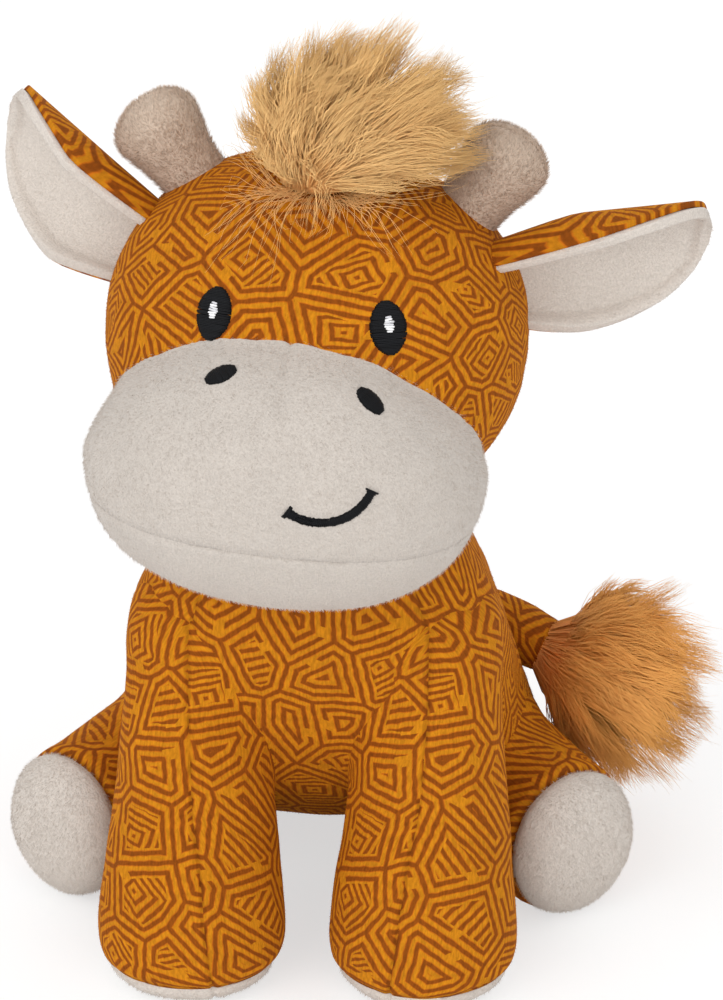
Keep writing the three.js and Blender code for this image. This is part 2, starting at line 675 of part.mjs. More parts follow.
// One layer of an ear between two heights over its lining: a leaf that stands along X and is rolled about its
// own length, more tightly where it is gathered at the root.
function cuppedLeaf(inner, outer) {
  const steps = 7;
  const strips = 6;
  const halfWidth = new THREE.SplineCurve([
    new THREE.Vector2(-EAR_SUNK, EAR_ROOT_HALF_WIDTH),
    new THREE.Vector2(EAR_LENGTH * EAR_WIDEST_AT, EAR_HALF_WIDTH),
    new THREE.Vector2(EAR_LENGTH * EAR_TAPER_AT, EAR_HALF_WIDTH * EAR_TAPER_SHARE),
    new THREE.Vector2(EAR_LENGTH, EAR_TIP_HALF_WIDTH),
  ]);
  const points = [];
  for (let i = 0; i <= steps; i += 1) {
    const along = Math.sin((Math.PI * i) / steps / 2);
    const place = halfWidth.getPoint(along);
    const cup = THREE.MathUtils.lerp(EAR_ROOT_CUP_RADIUS, EAR_TIP_CUP_RADIUS, along);
    const at = (height, share) => [
      place.x,
      (cup + height) * Math.cos((place.y / cup) * share) - cup,
      (cup + height) * Math.sin((place.y / cup) * share),
    ];
    const shares = Array.from({ length: strips + 1 }, (_, j) => (2 * j) / strips - 1);
    points.push(...shares.map((share) => at(outer, share)), ...shares.map((share) => at(inner, -share)));
  }
  return new THREE.BufferGeometry()
    .setAttribute("position", new THREE.Float32BufferAttribute(points.flat(), 3))
    .setIndex(leafFaces(steps + 1, strips));
}

function earLayer(name, inner, outer) {
  const turns = [EAR_FACING_DOWN, -EAR_LIFT[name], EAR_SWEEP_BACK[name]].map(radians);
  const place = new THREE.Matrix4().makeRotationFromEuler(new THREE.Euler(...turns, "ZYX"));
  place.setPosition(EAR_ROOT_SIDE, EAR_ROOT_BACK, EAR_ROOT_RISE[name]);
  const leaf = cuppedLeaf(inner, outer).applyMatrix4(place);
  return SIDES[name] > 0 ? leaf : mirrored(leaf);
}

// An ear droops by a positive turn about its hinge, which lies low in its root.
function earHinge(name) {
  const side = SIDES[name];
  return {
    point: new THREE.Vector3(side * EAR_ROOT_SIDE, EAR_ROOT_BACK, EAR_ROOT_RISE[name] - EAR_HINGE_DROP),
    axis: Y_AXIS.clone().multiplyScalar(side),
  };
}

function addEars(toy) {
  const flaps = [-EAR_RAISE_RANGE, EAR_DROOP_RANGE / 2, EAR_DROOP_RANGE];
  for (const name of Object.keys(SIDES)) {
    const hinge = earHinge(name);
    const cut = (layer) => {
      const besideHead = trimmedForSwing(solidOf(layer), headForm, hinge, flaps);
      return trimmedForSwing(besideHead, hornForm(name), hinge, flaps);
    };
    toy.add(
      piece(`ear_back_${name}`, cut(earLayer(name, EAR_LAYER_GAP, EAR_LAYER_GAP + CLOTH)), PRINT),
      piece(`ear_lining_${name}`, cut(earLayer(name, -CLOTH, 0)), CREAM_PLUSH),
    );
  }
}

function addCrownTuft(toy) {
  const halves = new THREE.Vector3(CROWN_TUFT_HALF_WIDTH, CROWN_TUFT_HALF_DEPTH, CROWN_TUFT_HALF_HEIGHT);
  const tuft = stuffedBall(halves, { around: 16, along: 9 }).translate(...CROWN_TUFT_CENTRE.toArray());
  const neighbours = [headForm, hornForm("left"), hornForm("right")];
  const clear = neighbours.reduce((left, form) => trimmed(left, form), solidOf(tuft));
  toy.add(piece("crown_tuft", clear, CROWN_PILE));
}

function addFrontLegs(toy) {
  const seam = new THREE.Vector3(0, 0, FRONT_SOLE_HEIGHT);
  const swings = [-FRONT_SWING_RANGE, -FRONT_SWING_RANGE / 2];
  for (const [name, side] of Object.entries(SIDES)) {
    const form = frontLegForm(side);
    const cut = (solid) => trimmedForSwing(solid, torsoForm, frontLegHinge, swings).intersect(aboveFloor);
    const [leg, sole] = partedAt(cut(skinOf(form)), seam, Z_AXIS);
    toy.add(
      piece(`front_leg_cover_${name}`, leg, PRINT),
      piece(`front_leg_filling_${name}`, cut(fillingOf(form)), FILLING),
      piece(`front_sole_${name}`, sole, CREAM_PLUSH),
    );
  }
}

function addHindLegs(toy) {
  const seam = HIND_ANKLE.clone().addScaledVector(hindLegRun, HIND_FOOT_LENGTH - HIND_SOLE_LENGTH);
  for (const [name, side] of Object.entries(SIDES)) {
    const mirror = new THREE.Vector3(side, 1, 1);
    const form = hindLegForm(side);
    const swings = [side * HIND_SPLAY_RANGE, (side * HIND_SPLAY_RANGE) / 2];
    const cut = (solid) => {
      const clear = trimmedForSwing(solid, torsoForm, hindLegHinge(side), swings);
      return trimmed(clear, frontLegForm(side)).intersect(aboveFloor);
    };
    const run = hindLegRun.clone().multiply(mirror);
    const [sole, leg] = partedAt(cut(skinOf(form)), seam.clone().multiply(mirror), run);
    toy.add(
      piece(`hind_leg_cover_${name}`, leg, PRINT),
      piece(`hind_leg_filling_${name}`, cut(fillingOf(form)), FILLING),
      piece(`hind_sole_${name}`, sole, CREAM_PLUSH),
    );
  }
}

function addTail(toy) {
  const form = tailForm();
  const swings = [TAIL_SWING_RANGE / 2, TAIL_SWING_RANGE];
  const legPlaces = [0, HIND_SPLAY_RANGE / 2, HIND_SPLAY_RANGE].map((angle) =>
    hindLegForm(SIDES.left).applyMatrix4(turnAbout(hindLegHinge(SIDES.left), angle)),
  );
  const cut = (solid) => {
    const clear = trimmedForSwing(solid, torsoForm, tailHinge, swings);
    return legPlaces.reduce((left, leg) => trimmed(left, leg, TURNING_GAP), clear);
  };
  const halves = new THREE.Vector3(TAIL_TUFT_HALF_WIDTH, TAIL_TUFT_HALF_DEPTH, TAIL_TUFT_HALF_HEIGHT);
  const tuft = stuffedBall(halves, { around: 16, along: 9 }).translate(...TAIL_TUFT_CENTRE.toArray());
  toy.add(
    piece("tail_cover", cut(skinOf(form)), PRINT),
    piece("tail_filling", cut(fillingOf(form)), FILLING),
    piece("tail_tuft", trimmed(cut(solidOf(tuft)), form), TAIL_PILE),
  );
}

const toy = new THREE.Group();
addTorso(toy);
addSqueaker(toy);
addFrontLegs(toy);
addHindLegs(toy);
addTail(toy);
addHeadPanels(head);
addFace(head);
addHorns(head);
addEars(head);
addCrownTuft(head);
toy.add(head);

export default toy;
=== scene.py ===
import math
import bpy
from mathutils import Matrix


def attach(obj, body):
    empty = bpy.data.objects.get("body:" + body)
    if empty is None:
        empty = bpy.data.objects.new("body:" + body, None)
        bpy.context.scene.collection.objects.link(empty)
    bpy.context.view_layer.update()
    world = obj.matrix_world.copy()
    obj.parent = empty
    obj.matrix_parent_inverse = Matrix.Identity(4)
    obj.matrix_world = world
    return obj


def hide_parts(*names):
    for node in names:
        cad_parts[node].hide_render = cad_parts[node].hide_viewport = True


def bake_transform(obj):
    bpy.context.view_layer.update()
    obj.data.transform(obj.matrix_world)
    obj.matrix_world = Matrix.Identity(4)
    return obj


bl_info = {
    "name": "Plush giraffe dog toy",
    "version": (1, 0, 0),
    "blender": (4, 5, 0),
    "location": "View3D > Sidebar > Plush giraffe",
    "description": "Sews a plush giraffe toy over its packed solids, in velour, plush, long pile and thread",
    "category": "Object",
}

from functools import partial

import bpy
import numpy as np
from bpy.props import FloatProperty, FloatVectorProperty, IntProperty, PointerProperty
from mathutils import Matrix, Vector, noise
from mathutils.bvhtree import BVHTree
from mathutils.kdtree import KDTree

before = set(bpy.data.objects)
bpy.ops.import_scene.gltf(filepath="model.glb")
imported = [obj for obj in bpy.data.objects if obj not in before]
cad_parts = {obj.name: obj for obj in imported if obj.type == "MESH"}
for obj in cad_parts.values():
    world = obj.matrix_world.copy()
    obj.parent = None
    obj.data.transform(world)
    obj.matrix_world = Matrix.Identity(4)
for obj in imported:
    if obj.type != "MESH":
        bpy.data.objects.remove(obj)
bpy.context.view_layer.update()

MM = 0.001
SIDES = {"left": 1, "right": -1}

# Forms, in millimetres and degrees, as the solids have them
TORSO_SPINE = [(0, 12, 8), (0, -8, 33), (0, -37, 60), (0, -55, 92), (0, -58, 125)]
TORSO_GIRTHS = [(53, 24.5), (53, 24.5), (49, 37.5), (43, 34), (34, 27)]
TORSO_SEAMS = (-51, -129, 39, 141)
TORSO_GORES = (-90, -12, 90, 192)
FRONT_LEG_SPINE = [(29.5, -71, 96), (29.5, -71, 78), (29.25, -83, 39), (29, -95, 16.5), (29, -95, 0)]
FRONT_LEG_GIRTHS = [(17, 17), (17, 17), (20.5, 20), (23.3, 22), (23.3, 22)]
FRONT_SEAM_HEIGHT = 6.5
HIND_LEG_SPINE = [(24, -4, 24), (36, -20, 24), (60, -52, 20), (70.2, -65.6, 20)]
HIND_LEG_GIRTHS = [(22, 20), (22, 20), (20.5, 19), (20.5, 19)]
HIND_SEAM = (64.2, -57.6, 20)
HIND_RUN = (0.6, -0.8, 0)
TAIL_SPINE = [(4.9, 10.3, 54.5), (20, 5, 53), (40, 6, 51), (60, -9, 49)]
TAIL_GIRTHS = [(8.5, 8.5), (8.5, 8.5), (8.5, 8.5), (7.5, 7.5)]
HEAD_CENTRE = (0, -55, 158)
HEAD_HALVES = (51.5, 45, 43)
HEAD_FULLNESS = 2.2
MUZZLE_CENTRE = (-1.5, -35, -19.5)
MUZZLE_HALVES = (48, 35, 34)
MUZZLE_FULLNESS = 2.3
MUZZLE_TAPER = 0.24
LIP_SEAM_HEIGHT = -29.5
EYE_SIZE = (8.6, 12.6)
EYE_SPOTS = {"left": (20.5, 18.6), "right": (-20.5, 17.2)}
GLINT_SIZE = (2.1, 4.0)
GLINT_RISE = 0.8
NOSTRIL_SIZE = (4.8, 7.6)
NOSTRIL_SPOTS = {"left": (20.6, 25.9), "right": (-14.6, 28.1)}
NOSTRIL_SLANT = {"left": 22, "right": -48}
SMILE_SPOT = (16, 1.2)
SMILE_RADIUS = 13.3
SMILE_ARC = 100
SMILE_TILT = 13
HORN_SPLAY = {"left": 31, "right": 40}
HORN_ROOT = (33, 8)
HORN_LENGTH = 24
HORN_SUNK = 7
HORN_HALVES = (8.5, 8.5, 10.8, 10.8)
HORN_FLATNESS = 0.85
EAR_LEAF = [(-12, 16, 9.5), (2, 22, 13), (17, 26, 17), (36, 21, 20), (46.5, 12.5, 22), (50.5, 3, 24)]
EAR_ROOT = (43, 6)
EAR_RISE = {"left": 26.5, "right": 21}
EAR_LIFT = {"left": 5, "right": 20}
EAR_SWEEP = {"left": 16, "right": 30}
EAR_FACING_DOWN = {"left": 29, "right": 15}
EAR_REACH = {"left": 1.0, "right": 0.95}
CROWN_CENTRE = (8, -4, 57)
CROWN_HALVES = (29, 23, 23)
TAIL_TUFT_CENTRE = (79, -12, 41)
TAIL_TUFT_HALVES = (23, 22, 28)

# Cloth, seams and strands, in millimetres
STITCH_LENGTH = 2.7
GORE_GAP = 410
EAR_CLOTH = 1.5
EAR_RIM = 1.1
EAR_RIM_WIDTHS = (2.2, 4.6)
EAR_TUCK = 3.4
EAR_PLEATS = (3, 17)
STRAND_RADIUS = 0.17

# How far a front seam draws the mesh to it and how far it veers outwards, in radians
FRONT_SEAM_CROWDING = 0.33
FRONT_SEAM_VEER = 0.4

# The points along a strand, the locks that half a tuft falls into, and their wave as a share of their length
STRAND_POINTS = 7
LOCKS = 60
LOCK_WAVE = 0.09

# How much the cream plush's colour is raised or lowered in each place: painted light that brightens the pads and
# ears, and painted shade that darkens the muzzle a little
CREAM_PAINTED_LIGHT_AND_SHADE = {"Muzzle": 0.97, "Pad": 1.09, "Ear": 1.16}

# The photograph's view, in degrees and metres
CAMERA_RISE = 24.5
CAMERA_TURN = 4
CAMERA_AIM = (0, -0.05, 0.11)
CAMERA_ASIDE = 0.0104

HEAD_TURN = Matrix.Rotation(math.radians(-3), 4, "Z") @ Matrix.Rotation(math.radians(4.5), 4, "Y")
HEAD_PLACE = Matrix.Translation(Vector(HEAD_CENTRE) * MM) @ HEAD_TURN


def linear(code):
    """A colour written as sRGB hex, turned to the linear values that Blender works in."""
    parts = [int(code[i : i + 2], 16) / 255 for i in (1, 3, 5)]
    return tuple(p / 12.92 if p <= 0.04045 else ((p + 0.055) / 1.055) ** 2.4 for p in parts)


class GiraffeSizes(bpy.types.PropertyGroup):
    """Sizes that a user would change."""

    print_cell: FloatProperty(
        name="Print motif", description="Width of one nested motif", default=0.0165, unit="LENGTH"
    )
    print_line: FloatProperty(
        name="Print line spacing", description="Distance between lines", default=0.0025, unit="LENGTH"
    )
    velour_length: FloatProperty(
        name="Velour fuzz", description="Length of the velour's pile", default=0.0006, unit="LENGTH"
    )
    pile_length: FloatProperty(
        name="Short pile", description="Length of the cream plush's pile", default=0.0011, unit="LENGTH"
    )
    crown_strands: IntProperty(name="Crown strands", description="Strands in the crown tuft", default=8400)
    tail_strands: IntProperty(name="Tail strands", description="Strands in the tail tuft", default=7200)


class GiraffeColours(bpy.types.PropertyGroup):
    """Colours that a user would change."""

    print_ground: FloatVectorProperty(
        name="Print ground", description="Velour between lines", subtype="COLOR", default=linear("#C27B13")
    )
    print_edge: FloatVectorProperty(
        name="Print edges", description="Ink that the pile draws", subtype="COLOR", default=linear("#B96212")
    )
    print_line: FloatVectorProperty(
        name="Print lines", description="Printed lines", subtype="COLOR", default=linear("#87450C")
    )
    cream: FloatVectorProperty(
        name="Cream plush", description="Muzzle, soles and ears", subtype="COLOR", default=linear("#D3CAC1")
    )
    taupe: FloatVectorProperty(
        name="Taupe plush", description="Horns", subtype="COLOR", default=linear("#D4BFAC")
    )
    crown: FloatVectorProperty(
        name="Crown pile", description="Long pile on the head", subtype="COLOR", default=linear("#FFCE88")
    )
    tail: FloatVectorProperty(
        name="Tail pile", description="Long pile on the tail", subtype="COLOR", default=linear("#FFB862")
    )


# Curves and forms


def along_curve(points, share, even=False):
    """Places on a smooth curve through points. Its pull is by distance, or the same for all where even."""
    points = np.asarray(points, float)
    ends = (points[0], points[-1]) if even else (2 * points[0] - points[1], 2 * points[-1] - points[-2])
    p = np.vstack([ends[0], points, ends[1]])
    at = np.clip(share, 0, 1) * (len(points) - 1)
    k = np.minimum(at.astype(int), len(points) - 2)
    w = (at - k)[:, None]
    a, b, c, d = (p[k + i] for i in range(4))
    if even:
        leave, arrive = (c - a) / 2, (d - b) / 2
    else:
        ab, bc, cd = (np.linalg.norm(y - x, axis=1)[:, None] ** 0.5 for x, y in ((a, b), (b, c), (c, d)))
        leave = ((b - a) / ab - (c - a) / (ab + bc) + (c - b) / bc) * bc
        arrive = ((c - b) / bc - (d - b) / (bc + cd) + (d - c) / cd) * bc
    return b + w * (leave + w * (3 * (c - b) - 2 * leave - arrive + w * (2 * (b - c) + leave + arrive)))


def unit_rows(rows):
    return rows / np.maximum(np.linalg.norm(rows, axis=-1, keepdims=True), 1e-12)


def wrapped(angle):
    return (angle + math.pi) % (2 * math.pi) - math.pi


def smoothly(values, low, high):
    """A soft change from 0 to 1, where values pass from low to high."""
    share = np.clip((values - low) / (high - low), 0, 1)
    return share * share * (3 - 2 * share)


def placed(points, place):
    """Points of a place's own frame, in the frame of the part."""
    return points @ place[:3, :3].T + place[:3, 3]


def local_to(place, points):
    """Points of the part, in a place's own frame."""
    return (points - place[:3, 3]) @ place[:3, :3]


def along_and_about(unit):
    """How far along a ball its points are, from pole to pole, and their angles about it."""
    return (1 - unit[:, 2]) / 2, np.arctan2(unit[:, 1], unit[:, 0])


class Loft:
    """The mould of a long stuffed form: rings about a spine, closed by rounded ends."""

    def __init__(self, spine, girths, width_axis=(1, 0, 0), fullness=2.0, blunt=(2.0, 2.0), side=1):
        self.spine = np.asarray(spine, float) * MM * (side, 1, 1)
        self.girths = np.asarray(girths, float) * MM
        self.axis = np.asarray(width_axis, float)
        self.fullness = fullness
        self.blunt = blunt

    def half_sizes(self, share):
        span = 1 / (len(self.spine) - 1)
        closing = 1.0
        for way, power in ((share, self.blunt[0]), (1 - share, self.blunt[1])):
            near = 1 - np.clip(way / span, 0, 1)
            closing = closing * (1 - near**power) ** (1 / power)
        return along_curve(self.girths, share, even=True) * np.reshape(closing, (-1, 1))

    def girth(self, share):
        return self.half_sizes(share).mean(1)

    def at(self, share, angle):
        step = 1e-4
        centre = along_curve(self.spine, share)
        ahead = along_curve(self.spine, np.minimum(share + step, 1))
        behind = along_curve(self.spine, np.maximum(share - step, 0))
        tangent = unit_rows(ahead - behind)
        across = unit_rows(self.axis - tangent * (tangent @ self.axis)[:, None])
        deep = np.cross(tangent, across)
        half = self.half_sizes(share)
        c, s = np.cos(angle), np.sin(angle)
        reach = (np.abs(c) ** self.fullness + np.abs(s) ** self.fullness) ** (-1 / self.fullness)
        return centre + across * (half[:, 0] * reach * c)[:, None] + deep * (half[:, 1] * reach * s)[:, None]

    def mould(self, unit):
        return self.at(*along_and_about(unit))


class Ball:
    """The mould of a ball that is pushed out towards a box by its fullness, narrowed above, and placed."""

    def __init__(self, halves, fullness=2.0, place=None, taper=0.0):
        self.halves = np.asarray(halves, float) * MM
        self.fullness = fullness
        self.place = np.array(place or Matrix.Identity(4))
        self.taper = taper

    def placed(self, points):
        return placed(points, self.place)

    def local(self, points):
        return local_to(self.place, points)

    def mould(self, unit):
        reach = (np.abs(unit) ** self.fullness).sum(1) ** (-1 / self.fullness)
        share = unit * reach[:, None]
        share[:, 0] *= 1 - self.taper * np.maximum(0, share[:, 2])
        return self.placed(share * self.halves)

    def front(self, side, rise):
        """The place on the front at a side and a rise, the way out of it, and the way to its right."""
        x, _, z = self.halves
        share = np.array([side * MM / x, 0, rise * MM / z])
        narrow = 1 - self.taper * max(0, share[2])
        share[0] /= narrow
        share[1] = -((1 - (np.abs(share) ** self.fullness).sum()) ** (1 / self.fullness))
        slopes = np.sign(share) * np.abs(share) ** (self.fullness - 1) / self.halves
        out = Vector(self.place[:3, :3] @ slopes).normalized()
        right = Vector((0, 0, 1)).cross(out).normalized()
        share[0] *= narrow
        return Vector(self.placed(share * self.halves)), out, right

    def size(self, points):
        """How far out points are, by the ball's own measure, with 1 on its surface."""
        local = self.local(points) / self.halves
        local[:, 0] /= 1 - self.taper * np.maximum(0, local[:, 2])
        return (np.abs(local) ** self.fullness).sum(-1) ** (1 / self.fullness)

    def held_out(self, points, gap):
        """Points, with those inside the ball brought out to a gap over it."""
        local = self.local(points)
        size = (np.abs(local / (self.halves + gap)) ** self.fullness).sum(-1) ** (1 / self.fullness)
        return self.placed(local / np.clip(size, 0.05, 1)[..., None])

    def caps(self, way):
        """Two round flat panels of cloth, about a direction and about its opposite."""
        way = np.array(Vector(way).normalized())
        right = np.array(Vector(way).cross(Vector((0, 0, 1))).normalized())
        up = np.cross(right, way)
        radius = self.halves.mean()

        def flat(own, middle):
            front = middle @ way > -0.12
            pole = np.where(front[:, None], way, -way)
            lean = np.arccos(np.clip((own * pole).sum(1), -1, 1))
            x, y = own @ right, own @ up
            scale = radius * lean / np.maximum(np.hypot(x, y), 1e-9)
            return np.stack([x * scale + np.where(front, 0, 0.5), y * scale], 1)

        return flat


# Meshes


def only(piece):
    bpy.ops.object.select_all(action="DESELECT")
    piece.select_set(True)
    bpy.context.view_layer.objects.active = piece


def listed(items, key, width, kind=float):
    """A property of each of a mesh's items, such as its points, in rows of a width."""
    flat = np.empty(len(items) * width, kind)
    items.foreach_get(key, flat)
    return flat.reshape(-1, width)


def read(piece):
    return listed(piece.data.vertices, "co", 3)


def write(piece, points):
    piece.data.vertices.foreach_set("co", np.asarray(points, float).ravel())
    piece.data.update()


def normals(piece):
    return listed(piece.data.vertices, "normal", 3)


def corner_points(mesh):
    return listed(mesh.loops, "vertex_index", 1, np.int32)[:, 0]


def lay_map(piece, name, values):
    """Gives a piece a map, by the values of its face corners."""
    piece.data.uv_layers.new(name=name).data.foreach_set("uv", values.ravel())


def in_edit(piece, *steps):
    """Runs edit-mode steps on the whole of a piece."""
    only(piece)
    bpy.ops.object.mode_set(mode="EDIT")
    bpy.ops.mesh.select_all(action="SELECT")
    for step in steps:
        step()
    bpy.ops.object.mode_set(mode="OBJECT")


def outwards():
    bpy.ops.mesh.normals_make_consistent(inside=False)


def corners_of(mesh):
    """The point at every face corner, and what gives the mean of a value over each corner's face."""
    point = corner_points(mesh)
    sides = np.array([len(face.vertices) for face in mesh.polygons])
    face = np.repeat(np.arange(len(sides)), sides)

    def middle(values):
        total = np.zeros((len(sides), values.shape[1]))
        np.add.at(total, face, values[point])
        return (total / sides[:, None])[face]

    return point, middle


def lay_cloth(piece, unit, flat):
    """Gives a piece the flat places of its cloth, in metres, as a map."""
    point, middle = corners_of(piece.data)
    lay_map(piece, "cloth", flat(unit[point], middle(unit)))


def lay_gores(piece, grid, around, along, angles):
    """Lays cloth on a long form as gores about some angles, measured over the finished surface."""
    ring = np.rint(np.arccos(np.clip(grid[:, 2], -1, 1)) * along / math.pi).astype(int)
    step = np.rint(np.arctan2(grid[:, 1], grid[:, 0]) * around / (2 * math.pi)).astype(int) % around
    points = read(piece)
    net = np.empty((along + 1, around, 3))
    net[ring, step] = points
    net[0], net[along] = points[ring == 0][0], points[ring == along][0]
    down = np.zeros((along + 1, around))
    down[1:] = np.cumsum(np.linalg.norm(np.diff(net, axis=0), axis=2), 0)
    down += (down[along // 2].mean() - down[along // 2])[None]
    chords = np.linalg.norm(np.roll(net, -1, axis=1) - net, axis=2)
    half = around // 2 + 1
    point, middle = corners_of(piece.data)
    centre = middle(grid)
    face_step = np.arctan2(centre[:, 1], centre[:, 0]) * around / (2 * math.pi)
    turns = np.array(angles) * around / (2 * math.pi)

    def wrap(steps):
        return (steps + around / 2) % around - around / 2

    pick = np.argmin([np.abs(wrap(face_step - turn)) for turn in turns], axis=0)
    r, s = ring[point], step[point]
    pole = (r == 0) | (r == along)
    off = wrap(face_step - turns[pick])
    off = np.where(pole, off, off + wrap(s - face_step))
    off = np.rint(off).astype(int)
    across = np.zeros(len(point))
    for k, turn in enumerate(turns):
        start = int(round(turn)) % around
        order = (start + np.arange(-half, half + 1)) % around
        run = np.concatenate([np.zeros((along + 1, 1)), np.cumsum(chords[:, order[:-1]], 1)], 1)
        run -= run[:, half : half + 1]
        mine = pick == k
        across[mine] = run[r[mine], np.clip(off[mine] + half, 0, 2 * half)] + GORE_GAP * MM * k
    lay_map(piece, "cloth", np.stack([across, down[r, s]], 1))


def stuffed(name, form, around, along, bend=None):
    """A ball whose points are moved on to a mould.

    Gives the piece, and where its points were before and after a bend."""
    bpy.ops.object.select_all(action="DESELECT")
    bpy.ops.mesh.primitive_uv_sphere_add(segments=around, ring_count=along, radius=1, calc_uvs=False)
    piece = bpy.context.object
    piece.name = piece.data.name = name
    grid = read(piece)
    unit = bend(grid) if bend else grid
    write(piece, form.mould(unit))
    in_edit(piece, outwards)
    return piece, grid, unit


def turned(unit, shift):
    """Points of a ball turned about its poles by a shift, which comes from their angles and shares."""
    share, angle = along_and_about(unit)
    angle = angle + shift(angle, share)
    flat = np.hypot(unit[:, 0], unit[:, 1])
    return np.stack([flat * np.cos(angle), flat * np.sin(angle), unit[:, 2]], 1)


def paint_seam_shade(piece, closeness):
    """Keeps how near each point is to a seam, which the print darkens there as painted shade in the seam's crease
    and stitches.
    """
    layer = piece.data.attributes.get("seam") or piece.data.attributes.new("seam", "FLOAT", "POINT")
    layer.data.foreach_set("value", np.clip(closeness, 0, 1).astype(np.float32))


def seated(piece):
    """Sets a piece on the ground, flattened a little where it rests."""
    points = read(piece)
    points[:, 2] = np.maximum(points[:, 2] - points[:, 2].min() - 0.5 * MM, 0)
    write(piece, points)


def tree_of(piece):
    mesh = piece.data
    return BVHTree.FromPolygons([v.co for v in mesh.vertices], [tuple(f.vertices) for f in mesh.polygons])


def distance_to(points, tree):
    """Signed distances, positive outside a closed piece."""
    found = np.empty(len(points))
    for i, point in enumerate(points):
        near, normal, _, away = tree.find_nearest(Vector(point))
        found[i] = math.copysign(away, (Vector(point) - near).dot(normal))
    return found


def soften_crease(piece, tree, reach):
    """Raises a piece where it runs into another, as filling does under a crease."""
    points = read(piece)
    reach = np.broadcast_to(reach, len(points))
    close = np.clip(1 - np.abs(distance_to(points, tree)) / np.maximum(reach, 1e-6), 0, 1)
    write(piece, points + normals(piece) * (close**2 * reach / 4)[:, None])


def keep_out(piece, tree, gap):
    """Brings the points of a piece that lie inside another out to a gap over it."""
    points = read(piece)
    for i, point in enumerate(points):
        near, normal, _, away = tree.find_nearest(Vector(point))
        if (Vector(point) - near).dot(normal) < gap:
            points[i] = near + normal * gap
    write(piece, points)


def uneven(points, size, seed):
    """Smooth noise from -1 to 1 over points, with bumps of about a size."""
    shift = Vector((seed * 7.31, seed * 3.17, seed * 5.71))
    return np.array([noise.noise(Vector(point) / size + shift) for point in points])


def swell(piece, amount):
    write(piece, read(piece) + normals(piece) * np.reshape(amount, (-1, 1)))


def nearness(away, width):
    """1 on a seam, and less and less away from it."""
    return np.exp(-((away / width) ** 2))


def groove(away, depth, width):
    """How far cloth is drawn in near a seam, by the distance from it."""
    return -depth * nearness(away, width)


def parted(piece, name, point, way):
    """Parts a piece along a flat seam. The side that the way looks to becomes a piece of its own."""
    other = piece.copy()
    other.data = piece.data.copy()
    other.name = other.data.name = name
    bpy.context.collection.objects.link(other)
    for part, front in ((piece, True), (other, False)):
        in_edit(
            part,
            lambda: bpy.ops.mesh.bisect(
                plane_co=point, plane_no=way, use_fill=True, clear_outer=front, clear_inner=not front
            ),
            lambda: bpy.ops.mesh.select_all(action="SELECT"),
            outwards,
        )
    return other


def smooth(piece):
    only(piece)
    bpy.ops.object.shade_smooth()


def modified(piece, kind, **settings):
    """Applies a modifier to a piece."""
    only(piece)
    made = piece.modifiers.new(kind.lower(), kind)
    for key, value in settings.items():
        setattr(made, key, value)
    bpy.ops.object.modifier_apply(modifier=made.name)


def mesh_piece(name, points, faces, values, map_name="fibre"):
    """A piece from points and faces, with a map that holds two values of each point.

    They are its tint and its share of the way to the tip, or else its place on the printed cloth."""
    mesh = bpy.data.meshes.new(name)
    mesh.from_pydata(points.tolist(), [], faces)
    piece = bpy.data.objects.new(name, mesh)
    bpy.context.collection.objects.link(piece)
    lay_map(piece, map_name, values[corner_points(mesh)])
    return piece


def dress(piece, material, slot, body=None, replaces=()):
    """Gives a piece its material, the body that it rides on and the solids that it stands for. The slot is not
    used.
    """
    piece.data.materials.clear()
    piece.data.materials.append(material)
    if replaces:
        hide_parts(*replaces)
    if body:
        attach(piece, body)
    return piece


# Pile, strands and thread


def pile(name, under, count, length, lay, seed, keep=None, lean=0.95, width=0.075 * MM):
    """Short pile: closed three-sided spikes on a piece, which lean the way that the pile lies.

    On printed cloth each spike takes the print's colour at its root."""
    rng = np.random.default_rng(seed)
    mesh = under.data
    mesh.calc_loop_triangles()
    tri = listed(mesh.loop_triangles, "vertices", 3, np.int32)
    points, bent = read(under), normals(under)
    # Blender lists the faces of a ball in another order each run, so they are ranked by place before any is drawn.
    rank = np.lexsort(np.round(points[tri].sum(1), 6).T)
    tri = tri[rank]
    corners = points[tri]
    area = np.linalg.norm(np.cross(corners[:, 1] - corners[:, 0], corners[:, 2] - corners[:, 0]), axis=1)
    pick = rng.choice(len(tri), size=count, p=area / area.sum())
    share = rng.dirichlet((1, 1, 1), count)[..., None]
    root = (corners[pick] * share).sum(1)
    normal = unit_rows((bent[tri[pick]] * share).sum(1))
    kept = np.ones(count, bool) if keep is None else keep(root, normal)
    root, normal, pick, share = root[kept], normal[kept], pick[kept], share[kept]
    n = len(root)
    drift = np.stack([uneven(root, 9 * MM, seed + i) for i in range(3)], 1)
    along = unit_rows(np.asarray(lay, float) + 0.5 * drift + rng.normal(0, 0.18, (n, 3)))
    along = unit_rows(along - normal * (along * normal).sum(1)[:, None])
    angle = np.clip(rng.normal(lean, 0.14, n), 0.1, 1.35)[:, None]
    reach = length * rng.uniform(0.65, 1.15, n)[:, None]
    side = np.cross(normal, along)
    foot = root - normal * 0.15 * MM
    tip = root + (normal * np.cos(angle) + along * np.sin(angle)) * reach
    ring = [foot + (along * math.cos(third) + side * math.sin(third)) * width for third in (0, 2.094, 4.189)]
    spikes = np.stack([*ring, tip], 1).reshape(-1, 3)
    first = np.arange(n)[:, None] * 4
    faces = np.concatenate([first + f for f in ((0, 1, 3), (1, 2, 3), (2, 0, 3), (2, 1, 0))]).tolist()
    cloth = mesh.uv_layers.get("cloth")
    if cloth:
        loops = listed(mesh.loop_triangles, "loops", 3, np.int32)[rank]
        place = (listed(cloth.data, "uv", 2)[loops[pick]] * share).sum(1)
        return mesh_piece(name, spikes, faces, np.repeat(place, 4, axis=0), "cloth")
    tint = np.repeat(rng.random(n), 4)
    return mesh_piece(name, spikes, faces, np.stack([tint, np.tile([0, 0, 0, 1.0], n)], 1))


